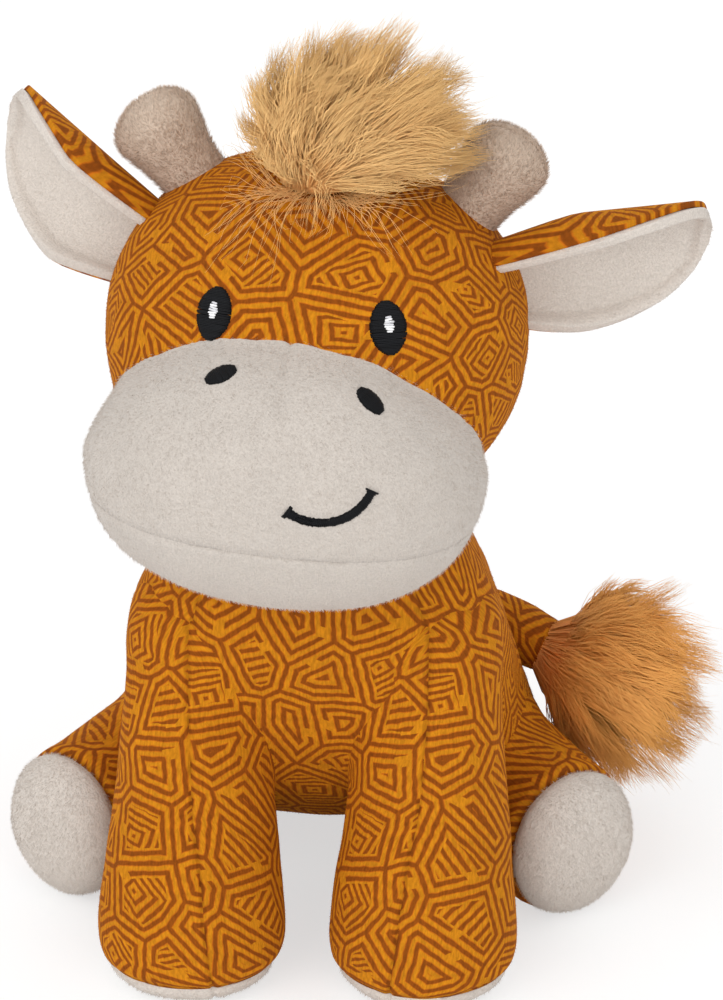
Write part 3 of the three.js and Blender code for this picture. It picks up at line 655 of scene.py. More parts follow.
def tubes(paths, radii, sides=3):
    """Points and faces of closed tubes, all along paths of the same count of points."""
    n, steps = paths.shape[:2]
    tangent = unit_rows(np.gradient(paths, axis=1))
    helper = np.where(np.abs(tangent[..., 2:]) > 0.9, (1.0, 0, 0), (0, 0, 1.0))
    across = unit_rows(np.cross(tangent, helper))
    deep = np.cross(tangent, across)
    turns = np.arange(sides) * 2 * math.pi / sides
    ring = across[:, :, None] * np.cos(turns)[:, None] + deep[:, :, None] * np.sin(turns)[:, None]
    points = (paths[:, :, None] + ring * radii[:, :, None, None]).reshape(n, -1, 3)
    points = np.concatenate([points, paths[:, :1], paths[:, -1:]], 1)
    faces = []
    start, end = steps * sides, steps * sides + 1
    for k in range(steps - 1):
        for j in range(sides):
            a, b = k * sides + j, k * sides + (j + 1) % sides
            faces.append((a, b, b + sides, a + sides))
    caps = [(start, (j + 1) % sides, j, j) for j in range(sides)]
    last = (steps - 1) * sides
    caps += [(end, last + j, last + (j + 1) % sides, last + (j + 1) % sides) for j in range(sides)]
    stride = points.shape[1]
    everything = (np.arange(n)[:, None, None] * stride + np.array(faces + caps)[None]).reshape(-1, 4)
    # A face of a cap has three corners, and its last is there twice.
    everything = [f[:3] if f[2] == f[3] else f for f in everything.tolist()]
    rise = np.concatenate([np.repeat(np.linspace(0, 1, steps), sides), [0, 1]])
    return points.reshape(-1, 3), everything, np.tile(rise, n)


def tuft(name, roots, rises, tips, flows, thickness, seed, gather, middle, clear=None):
    """Long pile: strands from roots to tips, which start along their rises and end along their flows.

    They gather in locks and wave a little. Their normals lean away from a middle, so that they shade as one
    soft mass, as hair that light passes through."""
    rng = np.random.default_rng(seed)
    n = len(roots)
    middles = rng.choice(n, LOCKS, replace=False)
    lock = np.array([np.argmin(((tips[middles] - tip) ** 2).sum(1)) for tip in tips])
    lead = middles[lock]
    near = rng.uniform(0.25, 1, n)[:, None] * gather
    span = np.linalg.norm(tips - roots, axis=1)[:, None]
    sway, own = rng.normal(0, 1, (n, 3))[lead], rng.normal(0, 1, (n, 3))
    phase = rng.uniform(0, 6.28, n)
    t = np.linspace(0, 1, STRAND_POINTS)[None, :, None]
    legs = [roots, roots + rises * span * 0.42, tips - flows * span * 0.34, tips]
    powers = [(1 - t) ** 3, 3 * t * (1 - t) ** 2, 3 * t**2 * (1 - t), t**3]
    paths = sum(leg[:, None] * power for leg, power in zip(legs, powers))
    paths = paths + (paths[lead] - paths) * near[:, None] * t**1.5
    bend = sway[:, None] * np.sin(t * 4.2 + phase[lead][:, None, None]) * LOCK_WAVE
    bend = bend + own[:, None] * np.sin(t * 7.5 + phase[:, None, None]) * LOCK_WAVE * 0.35
    paths = paths + bend * t * span[:, None]
    if clear:
        paths = clear(paths)
    taper = np.linspace(1, 0, STRAND_POINTS) ** 0.6 * 0.88 + 0.1
    radii = STRAND_RADIUS * MM * thickness[:, None] * rng.uniform(0.7, 1.25, (n, 1)) * taper
    points, faces, rise = tubes(paths, radii)
    tint = np.clip(rng.random(n) * 0.55 + rng.random(n)[lead] * 0.45, 0, 1)
    piece = mesh_piece(name, points, faces, np.stack([np.repeat(tint, len(rise) // n), rise], 1))
    smooth(piece)
    leaning = unit_rows(normals(piece) * 0.4 + unit_rows(points - middle))
    piece.data.normals_split_custom_set_from_vertices(leaning)
    return piece


def long_pile(place, body, colour, root, strands, seed, gather, middle, clear=None):
    """A tuft of long pile, darker at its root as painted shade deep in the tuft, in two pieces, so that neither
    has too many faces.

    Its strands are given by their roots, rises, tips, flows and thickness."""
    material = fibres(f"{place.title()} long pile", rgba(linear(root)), rgba(colour), 0.1, 0.6, 1.0)
    for k, some in enumerate(np.array_split(np.arange(len(strands[0])), 2)):
        part = [values[some] for values in strands]
        piece = tuft(f"{place}_long_pile" + "_more" * k, *part, seed + k, gather, middle, clear)
        dress(piece, material, f"{place}_pile", body, (f"{place}_tuft",) if k == 0 else ())


def laid(tree, centre, outward, right, x, y):
    """The place on a surface at x to the right and y up from a centre, and the way out of it there."""
    up = outward.cross(right)
    start = centre + right * x + up * y + outward * 0.02
    hit, normal, _, _ = tree.ray_cast(start, -outward)
    return hit, normal


def satin(name, tree, spot, rows, rise, thread=0.27 * MM, steps=7):
    """Satin stitch: threads laid side by side, each from one end to another, right and up from a spot.

    Gives the piece and the places that it covers."""
    centre, outward, right = spot
    paths = []
    for (x0, y0), (x1, y1) in rows:
        path = []
        for s in np.linspace(0, 1, steps):
            hit, normal = laid(tree, centre, outward, right, x0 + (x1 - x0) * s, y0 + (y1 - y0) * s)
            path.append(hit + normal * (rise * math.sqrt(max(0.0, 1 - (2 * s - 1) ** 4)) - thread * 0.3))
        paths.append(path)
    paths = np.array(paths)
    points, faces, along = tubes(paths, np.full(paths.shape[:2], thread), sides=6)
    tint = np.repeat(np.random.default_rng(len(rows)).random(len(rows)), len(along) // len(rows))
    piece = mesh_piece(name, points, faces, np.stack([tint, along], 1))
    smooth(piece)
    return piece, list(paths.reshape(-1, 3))


def turned_place(x, y, degrees):
    turn = math.radians(degrees)
    return x * math.cos(turn) - y * math.sin(turn), x * math.sin(turn) + y * math.cos(turn)


def oval_rows(size, slant, pitch, power, seed, ragged=0.22, tilt=0.02):
    """Rows of thread across an oval, with sizes in millimetres, whose form comes from its power."""
    rng = np.random.default_rng(seed)
    width, height, pitch = size[0] * MM, size[1] * MM, pitch * MM
    rows = []
    for y in np.arange(-height / 2 + pitch / 2, height / 2, pitch):
        half = width / 2 * (1 - abs(2 * y / height) ** power) ** (1 / power)
        lean = rng.normal(0, tilt) * half
        ends = [-half - rng.uniform(0, ragged) * MM, half + rng.uniform(0, ragged) * MM]
        rows.append([turned_place(ends[0], y - lean, slant), turned_place(ends[1], y + lean, slant)])
    return rows


# Materials


def add(tree, kind, *inputs, **settings):
    """Adds a node with its settings, and its values and links, which are in order or by socket.

    A node that is given as a value is linked by the first of its outputs that is in use."""
    made = tree.nodes.new("ShaderNode" + kind)
    for key, value in settings.items():
        setattr(made, key, value)
    by_socket = inputs[0] if inputs and isinstance(inputs[0], dict) else dict(enumerate(inputs))
    for socket, value in by_socket.items():
        if isinstance(value, bpy.types.Node):
            value = next(output for output in value.outputs if output.enabled)
        if isinstance(value, bpy.types.NodeSocket):
            tree.links.new(value, made.inputs[socket])
        else:
            made.inputs[socket].default_value = value
    return made


def fresh(name):
    """An empty material, and what adds nodes to it."""
    material = bpy.data.materials.get(name) or bpy.data.materials.new(name)
    material.use_nodes = True
    material.node_tree.nodes.clear()
    return material, partial(add, material.node_tree)


def finished(node, colour, bump=None, **values):
    """Ends a material in one shader, whose plain values are set on its own sockets."""
    inputs = {"Base Color": colour, **{key.replace("_", " "): value for key, value in values.items()}}
    if bump:
        inputs["Normal"] = bump
    node("OutputMaterial", {"Surface": node("BsdfPrincipled", inputs)})


def rgba(colour, gain=1.0):
    return (*[min(1.0, part * gain) for part in colour], 1.0)


def printed_velour():
    """Polyester velour with a rotary print: nested irregular motifs in brown lines, blurred by the pile."""
    sizes, colours = bpy.context.scene.giraffe_sizes, bpy.context.scene.giraffe_colours
    material, node = fresh("Printed short-pile velour")
    cloth = node("UVMap", uv_map="cloth")
    waver = node("TexNoise", {"Vector": cloth, "Scale": 330.0, "Detail": 1.0}, noise_dimensions="2D")
    shift = node("VectorMath", waver.outputs["Color"], (0.5, 0.5, 0.5), operation="SUBTRACT")
    shift = node("VectorMath", {0: shift, "Scale": 0.0007}, operation="SCALE")
    place = node("VectorMath", cloth, shift, operation="ADD")
    motif = node("VectorMath", {0: place, "Scale": 1 / sizes.print_cell}, operation="SCALE")
    lines = sizes.print_cell / sizes.print_line
    plan = {"Vector": motif, "Scale": 1.0, "Randomness": 0.9}
    edges = node("TexVoronoi", plan, voronoi_dimensions="2D", feature="DISTANCE_TO_EDGE")
    cells = node("TexVoronoi", plan, voronoi_dimensions="2D", feature="F1").outputs
    rings = node("Math", edges, lines, operation="MULTIPLY")
    # Each motif has a direction of its own, for the bars or boxes in its middle and the way in to it.
    chance = node("SeparateColor", cells["Color"]).outputs
    turn = node("Math", chance[0], 2 * math.pi, operation="MULTIPLY")
    ray = [node("Math", turn, operation=part) for part in ("COSINE", "SINE")]
    ray = node("CombineXYZ", *ray)
    arm = node("VectorMath", motif, cells["Position"], operation="SUBTRACT")
    arm = node("VectorMath", {0: arm, "Scale": lines}, operation="SCALE")
    along = node("VectorMath", arm, ray, operation="DOT_PRODUCT")
    cross = node("VectorMath", ray, arm, operation="CROSS_PRODUCT")
    across = node("Math", node("SeparateXYZ", cross).outputs[2], operation="ABSOLUTE")
    length = node("Math", along, operation="ABSOLUTE")
    width = node("Math", across, 1.4, operation="MULTIPLY")
    box = node("Math", length, width, operation="MAXIMUM")
    barred = node("Math", chance[1], 0.72, operation="GREATER_THAN")
    middle = node("Mix", {0: barred, 2: box, 3: across}, data_type="FLOAT")
    inside = node("Math", rings, 1.5, operation="GREATER_THAN")
    varied = node("Math", chance[1], 0.4, operation="GREATER_THAN")
    varied = node("Math", inside, varied, operation="MULTIPLY")
    wave = node("Mix", {0: varied, 2: rings, 3: middle}, data_type="FLOAT")
    wave = node("Math", wave, 0.5, operation="PINGPONG")
    near = node("Math", across, 0.55, operation="LESS_THAN")
    ahead = node("Math", along, 0.0, operation="GREATER_THAN")
    way_in = node("Math", near, ahead, operation="MULTIPLY")
    first = node("Math", rings, 1.0, 0.5, operation="COMPARE")
    opened = node("Math", way_in, first, operation="MULTIPLY")
    opened = node("Math", 1.0, opened, operation="SUBTRACT")
    line = node("MapRange", wave, 0.26, 0.16, interpolation_type="SMOOTHSTEP")
    line = node("Math", line, opened, operation="MULTIPLY")
    fringe = node("MapRange", wave, 0.36, 0.22, interpolation_type="SMOOTHSTEP")
    fringe = node("Math", fringe, opened, operation="MULTIPLY")
    # The nap lies downwards, so its light and dark streaks run that way.
    napped = node("VectorMath", cloth, (1, 0.3, 1), operation="MULTIPLY")
    streaks = node("TexNoise", {"Vector": napped, "Scale": 1500.0, "Detail": 2.0}, noise_dimensions="2D")
    broad = node("TexNoise", {"Vector": cloth, "Scale": 110.0, "Detail": 2.0}, noise_dimensions="2D")
    dark, light = rgba(colours.print_ground, 0.86), rgba(colours.print_ground, 1.14)
    colour = node("Mix", {0: broad, 6: dark, 7: light}, data_type="RGBA")
    for share, ink in ((fringe, colours.print_edge), (line, colours.print_line)):
        colour = node("Mix", {0: share, 6: colour, 7: rgba(ink)}, data_type="RGBA")
    shade = node("MapRange", streaks, 0.28, 0.72, 0.82, 1.16)
    # Painted shade: the cloth is darkened near seams, as if the crease and stitches there lay in shadow.
    seam = node("Attribute", attribute_name="seam").outputs["Fac"]
    seam = node("Math", seam, -0.4, 1.0, operation="MULTIPLY_ADD")
    shade = node("Math", shade, seam, operation="MULTIPLY")
    colour = node("VectorMath", {0: colour, "Scale": shade}, operation="SCALE")
    relief = node("Bump", {"Height": streaks, "Distance": 0.0003, "Strength": 0.6})
    finished(
        node, colour, relief, Roughness=0.9, Specular_IOR_Level=0.12, Sheen_Weight=0.2, Sheen_Roughness=0.4,
        Sheen_Tint=rgba(linear("#E89018")),
    )
    return material


def plush(name, colour, depth=0.9):
    """Knitted ground of short-pile polyester plush, which shows as soft mottling between the fibres. Its colour is
    darkened by depth, as painted shade under the pile.
    """
    material, node = fresh(name)
    place = node("TexCoord").outputs["Object"]
    fine = node("TexNoise", {"Vector": place, "Scale": 1900.0, "Detail": 2.0})
    broad = node("TexNoise", {"Vector": place, "Scale": 90.0, "Detail": 2.0})
    dark, light = rgba(colour, 0.93 * depth), rgba(colour, 1.05 * depth)
    tone = node("Mix", {0: broad, 6: dark, 7: light}, data_type="RGBA")
    shade = node("MapRange", fine, 0.3, 0.7, 0.88, 1.06)
    tone = node("VectorMath", {0: tone, "Scale": shade}, operation="SCALE")
    relief = node("Bump", {"Height": fine, "Distance": 0.0004, "Strength": 0.6})
    finished(
        node, tone, relief, Roughness=0.92, Specular_IOR_Level=0.2, Sheen_Weight=0.2, Sheen_Roughness=0.5
    )
    return material


def fibres(name, root, tip, spread, rough, sheen):
    """Polyester pile: each fibre has its own tint, is darker at its root as painted shade deep in the pile, and
    catches light along its side.
    """
    material, node = fresh(name)
    fibre = node("SeparateXYZ", node("UVMap", uv_map="fibre")).outputs
    rise = node("MapRange", fibre[1], 0.0, 0.85, interpolation_type="SMOOTHSTEP")
    colour = node("Mix", {0: rise, 6: root, 7: tip}, data_type="RGBA")
    shade = node("MapRange", {0: fibre[0], 3: 1 - spread, 4: 1 + spread * 0.7})
    colour = node("VectorMath", {0: colour, "Scale": shade}, operation="SCALE")
    finished(
        node, colour, Roughness=rough, Specular_IOR_Level=0.3, Sheen_Weight=sheen, Sheen_Roughness=0.4,
        Sheen_Tint=tip,
    )
    return material


def thread(name, colour, gloss):
    """Rayon embroidery thread: smooth, tightly laid and a little glossy, each turn with its own tint."""
    material, node = fresh(name)
    fibre = node("SeparateXYZ", node("UVMap", uv_map="fibre"))
    place = node("TexCoord").outputs["Object"]
    ply = node("TexNoise", {"Vector": place, "Scale": 3800.0, "Detail": 1.0})
    tone = node("Mix", {0: fibre, 6: rgba(colour, 0.75), 7: rgba(colour, 1.3)}, data_type="RGBA")
    relief = node("Bump", {"Height": ply, "Distance": 0.0001, "Strength": 0.5})
    finished(node, tone, relief, Roughness=gloss, Specular_IOR_Level=0.16)
    return material


def blown_vinyl():
    """Blown PVC of the squeaker: milky and slightly waxy, with faint marks of the mould."""
    material, node = fresh("Blown milky vinyl")
    place = node("TexCoord").outputs["Object"]
    cloud = node("TexNoise", {"Vector": place, "Scale": 160.0, "Detail": 2.0})
    dark, light = rgba(linear("#DCDCD6")), rgba(linear("#EFEFEA"))
    tone = node("Mix", {0: cloud, 6: dark, 7: light}, data_type="RGBA")
    relief = node("Bump", {"Height": cloud, "Distance": 0.0002, "Strength": 0.3})
    finished(node, tone, relief, Roughness=0.38, IOR=1.53)
    return material


def cream_ground(where):
    """The knitted ground of the cream plush, lightened or darkened for its place as painted light and shade."""
    cream, gain = bpy.context.scene.giraffe_colours.cream, CREAM_PAINTED_LIGHT_AND_SHADE[where]
    return plush(f"{where} plush ground", cream, 0.9 * gain)


def cream_fibres(where):
    """The pile of the cream plush, with the same painted light and shade for its place as its ground."""
    cream, gain = bpy.context.scene.giraffe_colours.cream, CREAM_PAINTED_LIGHT_AND_SHADE[where]
    return fibres(f"{where} plush pile", rgba(cream, 0.92 * gain), rgba(cream, 1.05 * gain), 0.08, 0.8, 0.3)


# Pieces


def torso_form():
    return Loft(TORSO_SPINE, TORSO_GIRTHS, fullness=2.5, blunt=(2, 4))


def head_form():
    return Ball(HEAD_HALVES, HEAD_FULLNESS, HEAD_PLACE)


def muzzle_form():
    place = HEAD_PLACE @ Matrix.Translation(Vector(MUZZLE_CENTRE) * MM)
    return Ball(MUZZLE_HALVES, MUZZLE_FULLNESS, place, MUZZLE_TAPER)


def front_leg_form(side):
    return Loft(FRONT_LEG_SPINE, FRONT_LEG_GIRTHS, blunt=(2, 3), side=side)


def hind_leg_form(side):
    return Loft(HIND_LEG_SPINE, HIND_LEG_GIRTHS, width_axis=(0, 0, 1), blunt=(2, 3), side=side)


def rough_tree(form, settle=False):
    """A nearest-point tree of a form by itself, before anything shapes it."""
    piece, _, _ = stuffed("passing", form, 72, 60)
    if settle:
        seated(piece)
    tree = tree_of(piece)
    bpy.data.objects.remove(piece)
    return tree


FORMS = {}


def shape_neighbours():
    """Nearest-point trees of the main forms, which the pieces are shaped against."""
    FORMS["torso"] = rough_tree(torso_form(), settle=True)
    FORMS["head"] = rough_tree(head_form())
    FORMS["muzzle"] = rough_tree(muzzle_form())
    for name, side in SIDES.items():
        FORMS[f"front_{name}"] = rough_tree(front_leg_form(side), settle=True)
        FORMS[f"hind_{name}"] = rough_tree(hind_leg_form(side), settle=True)


def crumple(piece, amount, seed):
    """Small unevenness of filling under cloth: broad lumps and finer drawn creases."""
    points = read(piece)
    swell(piece, amount * (uneven(points, 16 * MM, seed) * 0.7 + uneven(points, 6 * MM, seed + 1) * 0.3))


def sewn(piece, away, depth, width):
    """Draws cloth in along a seam, by the distance from it, with the pucker of its stitches."""
    swell(piece, groove(away, depth, width) * (1 + 0.3 * stitches(piece)))


def stitches(piece):
    """A wave from -1 to 1 that goes up and down with the stitches of an upright seam."""
    return np.sin(read(piece)[:, 2] * 2 * math.pi / (STITCH_LENGTH * MM))


def velour_pile(name, under, count, seed, body=None, keep=None):
    """The fuzz of the velour, which stands a little off the print and lies downwards."""
    length = bpy.context.scene.giraffe_sizes.velour_length
    nap = pile(name, under, count, length, (0, 0, -1), seed, keep, lean=1.0, width=0.06 * MM)
    return dress(nap, printed_velour(), "printed_velour", body)


def cream_pile(name, where, under, count, lay, seed, keep, body=None, length=None, lean=0.95):
    """The pile of the cream plush, as long as the user sets it unless a length is given."""
    length = length or bpy.context.scene.giraffe_sizes.pile_length
    nap = pile(name, under, count, length, lay, seed, keep, lean)
    return dress(nap, cream_fibres(where), "cream_plush", body)


class GIRAFFE_OT_torso(bpy.types.Operator):
    """Sews the torso: a leaning pear of printed velour that dips where the legs and the head press on it"""

    bl_idname = "giraffe.torso"
    bl_label = "Torso"

    def execute(self, context):
        around, along = 240, 130
        form = torso_form()
        piece, grid, _ = stuffed("torso_velour", form, around, along)
        seated(piece)
        for name in SIDES:
            soften_crease(piece, FORMS[f"front_{name}"], shoulder_reach(read(piece)))
            soften_crease(piece, FORMS[f"hind_{name}"], 7 * MM)
        crumple(piece, 0.7 * MM, 3)
        keep_out(piece, FORMS["head"], 0.6 * MM)
        keep_out(piece, FORMS["muzzle"], 0.6 * MM)
        settle_flat(piece)
        lay_gores(piece, grid, around, along, np.radians(TORSO_GORES))
        share, angle = along_and_about(grid)
        girth = form.girth(share)
        off = np.min([np.abs(wrapped(angle - math.radians(seam))) for seam in TORSO_SEAMS], axis=0)
        sewn(piece, off * girth, 0.6 * MM, 1.2 * MM)
        # Painted shade: the cloth is darkened along the seams and their stitches.
        paint_seam_shade(piece, nearness(off * girth, 0.8 * MM) * (0.6 + 0.4 * stitches(piece)))
        smooth(piece)
        nodes = ("torso_cover", "torso_filling_upper", "torso_filling_lower")
        dress(piece, printed_velour(), "printed_velour", "torso", nodes)
        velour_pile("torso_pile", piece, 22000, 5, "torso")
        return {"FINISHED"}


def shoulder_reach(points):
    """The crease over a front leg is soft at the shoulder and sharp beside the belly."""
    rise = np.clip((points[:, 2] / MM - 55) / 35, 0, 1)
    return (5 + 11 * rise**1.5) * MM


def settle_flat(piece):
    points = read(piece)
    points[:, 2] = np.maximum(points[:, 2], 0)
    write(piece, points)


class GIRAFFE_OT_front_legs(bpy.types.Operator):
    """Sews the front legs: printed tubes with a seam down the front, closed below by domed cream soles"""

    bl_idname = "giraffe.front_legs"
    bl_label = "Front legs"

    def execute(self, context):
        around, along = 120, 110
        for name, side in SIDES.items():
            form = front_leg_form(side)

            def drawn_in(angle, share):
                veer = side * FRONT_SEAM_VEER * np.clip((share - 0.3) / 0.65, 0, 1) ** 1.3
                return veer - FRONT_SEAM_CROWDING * np.sin(2 * (angle - math.pi / 2))

            piece, grid, _ = stuffed(
                f"front_leg_velour_{name}", form, around, along, lambda unit: turned(unit, drawn_in)
            )
            seated(piece)
            share, angle = along_and_about(grid)
            soften_crease(piece, FORMS["torso"], shoulder_reach(read(piece)))
            swell(piece, groove(read(piece)[:, 2] - FRONT_SEAM_HEIGHT * MM, 1.0 * MM, 1.1 * MM))
            crumple(piece, 0.6 * MM, 11 + side)
            settle_flat(piece)
            lay_gores(piece, grid, around, along, [0.0, math.pi])
            nearest = wrapped(2 * (angle - math.pi / 2)) / 2
            off = np.abs(nearest - FRONT_SEAM_CROWDING * np.sin(2 * nearest)) * form.girth(share)
            fade = np.clip(share / 0.12, 0, 1)
            sewn(piece, off, 0.7 * MM * fade, 0.7 * MM)
            # Painted shade: the cloth is darkened along the front seam's stitches and along the sole seam.
            low = read(piece)[:, 2] - FRONT_SEAM_HEIGHT * MM
            front = nearness(off, 0.5 * MM) * fade * (0.6 + 0.4 * stitches(piece))
            paint_seam_shade(piece, front + nearness(low, 0.7 * MM))
            smooth(piece)
            sole = parted(piece, f"front_sole_plush_{name}", (0, 0, FRONT_SEAM_HEIGHT * MM), (0, 0, -1))
            body = f"front_leg_{name}"
            nodes = (f"front_leg_cover_{name}", f"front_leg_filling_{name}")
            dress(piece, printed_velour(), "printed_velour", None, nodes)
            standing = above(FRONT_SEAM_HEIGHT + 0.4)
            nap = velour_pile(f"front_leg_pile_{name}", piece, 8000, 15 + side, keep=standing)
            for cloth in (piece, nap):
                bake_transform(cloth)
            dress(sole, cream_ground("Pad"), "cream_plush", body, (f"front_sole_{name}",))

            def on_sole(root, normal):
                return (root[:, 2] > 0.8 * MM) & (root[:, 2] < FRONT_SEAM_HEIGHT * MM - 0.2 * MM)

            pile_name = f"front_sole_pile_{name}"
            cream_pile(pile_name, "Pad", sole, 5000, (0, -1, -0.4), 21 + side, on_sole, body)
        return {"FINISHED"}


def above(height):
    """Keeps the pile that stands over a height, in millimetres."""
    return lambda root, normal: root[:, 2] > height * MM


class GIRAFFE_OT_hind_legs(bpy.types.Operator):
    """Sews the hind legs: short printed barrels with large round cream pads on the feet"""

    bl_idname = "giraffe.hind_legs"
    bl_label = "Hind legs"

    def execute(self, context):
        around, along = 104, 100
        for name, side in SIDES.items():
            piece, grid, _ = stuffed(f"hind_leg_velour_{name}", hind_leg_form(side), around, along)
            seated(piece)
            seam = np.array(HIND_SEAM) * MM * (side, 1, 1)
            run = np.array(HIND_RUN) * (side, 1, 1)
            soften_crease(piece, FORMS["torso"], 7 * MM)
            crumple(piece, 0.6 * MM, 31 + side)
            settle_flat(piece)
            lay_gores(piece, grid, around, along, [0.0, math.pi])
            off = (read(piece) - seam) @ run
            swell(piece, groove(off, 1.3 * MM, 1.3 * MM))
            # Painted shade: the cloth is darkened along the pad's seam.
            paint_seam_shade(piece, nearness(off, 1.0 * MM))
            settle_flat(piece)
            smooth(piece)
            pad = parted(piece, f"hind_sole_plush_{name}", seam, run)
            body = f"hind_leg_{name}"
            nodes = (f"hind_leg_cover_{name}", f"hind_leg_filling_{name}")
            dress(piece, printed_velour(), "printed_velour", body, nodes)
            dress(pad, cream_ground("Pad"), "cream_plush", body, (f"hind_sole_{name}",))
            velour_pile(f"hind_leg_pile_{name}", piece, 5000, 35 + side, body, above(0.8))

            def on_pad(root, normal):
                return ((root - seam) @ run > 0.3 * MM) & (root[:, 2] > 0.8 * MM)

            cream_pile(f"hind_sole_pile_{name}", "Pad", pad, 13000, (0, 0, -1), 41 + side, on_pad, body)
        return {"FINISHED"}


def from_ball(count, rng, low, lean):
    """Directions spread over the part of a ball above a height, and how far out each strand ends.

    Most end near its outline, so that the tuft is full there."""
    z, turn = rng.uniform(low, 1, count), rng.uniform(-math.pi, math.pi, count)
    flat = np.sqrt(1 - z**2)
    way = np.stack([flat * np.cos(turn), flat * np.sin(turn), z], 1) @ np.array(lean).T
    return way, (1.03 - rng.random(count) ** 2 * 0.36)[:, None]


class GIRAFFE_OT_tail(bpy.types.Operator):
    """Sews the tail: a thin printed tube that ends in a broom of long pile"""

    bl_idname = "giraffe.tail"
    bl_label = "Tail"

    def execute(self, context):
        around, along = 72, 80
        form = Loft(TAIL_SPINE, TAIL_GIRTHS, width_axis=(0, 0, 1), blunt=(2, 6))
        piece, grid, _ = stuffed("tail_velour", form, around, along)
        crumple(piece, 0.5 * MM, 51)
        lay_gores(piece, grid, around, along, [0.0])
        smooth(piece)
        dress(piece, printed_velour(), "printed_velour", "tail", ("tail_cover", "tail_filling"))
        velour_pile("tail_pile", piece, 2500, 57, "tail")
        end = Vector(TAIL_TUFT_CENTRE) - Vector(TAIL_SPINE[-1])
        lean = end.to_track_quat("Z", "Y").to_matrix()
        run = np.array(end.normalized())
        rng = np.random.default_rng(52)
        count = context.scene.giraffe_sizes.tail_strands
        way, out = from_ball(count, rng, -0.75, lean)
        tips = (np.array(TAIL_TUFT_CENTRE) + way * np.array(TAIL_TUFT_HALVES) * out) * MM
        aside = way - run * (way @ run)[:, None]
        depth = rng.uniform(0, 5, count)[:, None]
        roots = form.spine[-1] + (aside * rng.uniform(3, 7, count)[:, None] - run * depth) * MM
        rises = unit_rows(aside + run * 0.9)
        flows = unit_rows(tips - form.spine[-1]) + np.array([0.15, 0, -0.3]) + rng.normal(0, 0.15, (count, 3))
        strands = (roots, rises, tips, unit_rows(flows), np.ones(count))
        middle = np.array(TAIL_TUFT_CENTRE) * MM
        long_pile("tail", "tail", context.scene.giraffe_colours.tail, "#EE984E", strands, 53, 0.75, middle)
        return {"FINISHED"}


class GIRAFFE_OT_head(bpy.types.Operator):
    """Sews the head: the printed ball, the cream muzzle let into it, and the chin below the lip seam"""

    bl_idname = "giraffe.head"
    bl_label = "Head and muzzle"

    def execute(self, context):
        ball = head_form()
        head, _, unit = stuffed("head_velour", ball, 200, 140)
        lay_cloth(head, unit, ball.caps((0, -0.85, 0.53)))
        soften_crease(head, FORMS["muzzle"], 5 * MM)
        crumple(head, 0.6 * MM, 61)
        smooth(head)
        dress(head, printed_velour(), "printed_velour", "head", ("head_cover", "head_filling"))
        muzzle, _, _ = stuffed("muzzle_plush", muzzle_form(), 200, 150)
        local = ball.local(read(muzzle))
        swell(muzzle, groove(local[:, 2] - LIP_SEAM_HEIGHT * MM, 0.7 * MM, 0.9 * MM))
        # A dart runs down the middle of the muzzle from its upper edge.
        local = muzzle_form().local(read(muzzle)) / MM
        dart = np.clip((local[:, 2] - 19) / 6, 0, 1) * (local[:, 1] < 0)
        swell(muzzle, groove(local[:, 0] * MM, 0.7 * MM, 1.0 * MM) * dart)
        soften_crease(muzzle, FORMS["head"], 4 * MM)
        crumple(muzzle, 0.5 * MM, 71)
        smooth(muzzle)
        lip = HEAD_PLACE @ Vector((0, 0, LIP_SEAM_HEIGHT * MM))
        chin = parted(muzzle, "chin_plush", lip, -(HEAD_TURN @ Vector((0, 0, 1))))
        dress(muzzle, cream_ground("Muzzle"), "cream_plush", "head", ("muzzle_cover",))
        dress(chin, cream_ground("Muzzle"), "cream_plush", "head", ("chin_cover",))
        FORMS["muzzle_skin"] = tree_of(muzzle)
        FORMS["head_skin"] = tree_of(head)
        return {"FINISHED"}


class GIRAFFE_OT_face(bpy.types.Operator):
    """Embroiders the face in satin stitch: the eyes with a glint on each, the nostrils and the smile"""

    bl_idname = "giraffe.face"
    bl_label = "Embroidered face"

    def execute(self, context):
        black = thread("Black rayon thread", linear("#0C0D10"), 0.55)
        white = thread("White rayon thread", linear("#EDEDF2"), 0.4)
        ball, snout = head_form(), muzzle_form()
        threads = []
        for name, side in SIDES.items():
            across, rise = EYE_SPOTS[name]
            eye = oval_rows(EYE_SIZE, 0, 0.36, 1.85, 91 + side)
            threads += patch(f"eye_{name}", "head_skin", ball.front(across, rise), eye, black, "black_thread")
            glint = oval_rows(GLINT_SIZE, 0, 0.55, 1.5, 95 + side, ragged=0.4, tilt=0.15)
            spot = ball.front(across, rise + GLINT_RISE)
            patch(f"eye_glint_{name}", "head_skin", spot, glint, white, "white_thread", rise=0.95 * MM)
            nostril = oval_rows(NOSTRIL_SIZE, NOSTRIL_SLANT[name], 0.38, 2, 93 + side)
            spot = snout.front(*NOSTRIL_SPOTS[name])
            threads += patch(f"nostril_{name}", "muzzle_skin", spot, nostril, black, "black_thread")
        rows = []
        rng = np.random.default_rng(97)
        for turn in np.arange(-SMILE_ARC / 2, SMILE_ARC / 2 + 0.1, 1.9):
            end = abs(turn) > SMILE_ARC / 2 - 3
            half = (1.6 if end else 0.95) + rng.uniform(-0.12, 0.12)
            reaches = (-SMILE_RADIUS - half, -SMILE_RADIUS + half)
            tips = [turned_place(0, reach * MM, turn) for reach in reaches]
            rows.append([turned_place(x, y + SMILE_RADIUS * MM, SMILE_TILT) for x, y in tips])
        threads += patch("smile", "muzzle_skin", snout.front(*SMILE_SPOT), rows, black, "black_thread")
        FORMS["threads"] = KDTree(len(threads))
        for i, point in enumerate(threads):
            FORMS["threads"].insert(point, i)
        FORMS["threads"].balance()
        return {"FINISHED"}


def patch(node, skin, spot, rows, material, slot, rise=0.5 * MM):
    """Embroiders rows of thread about a spot on a skin. Gives the places that they cover."""
    piece, places = satin(f"{node}_thread", FORMS[skin], spot, rows, rise)
    dress(piece, material, slot, "head", (node,))
    return places


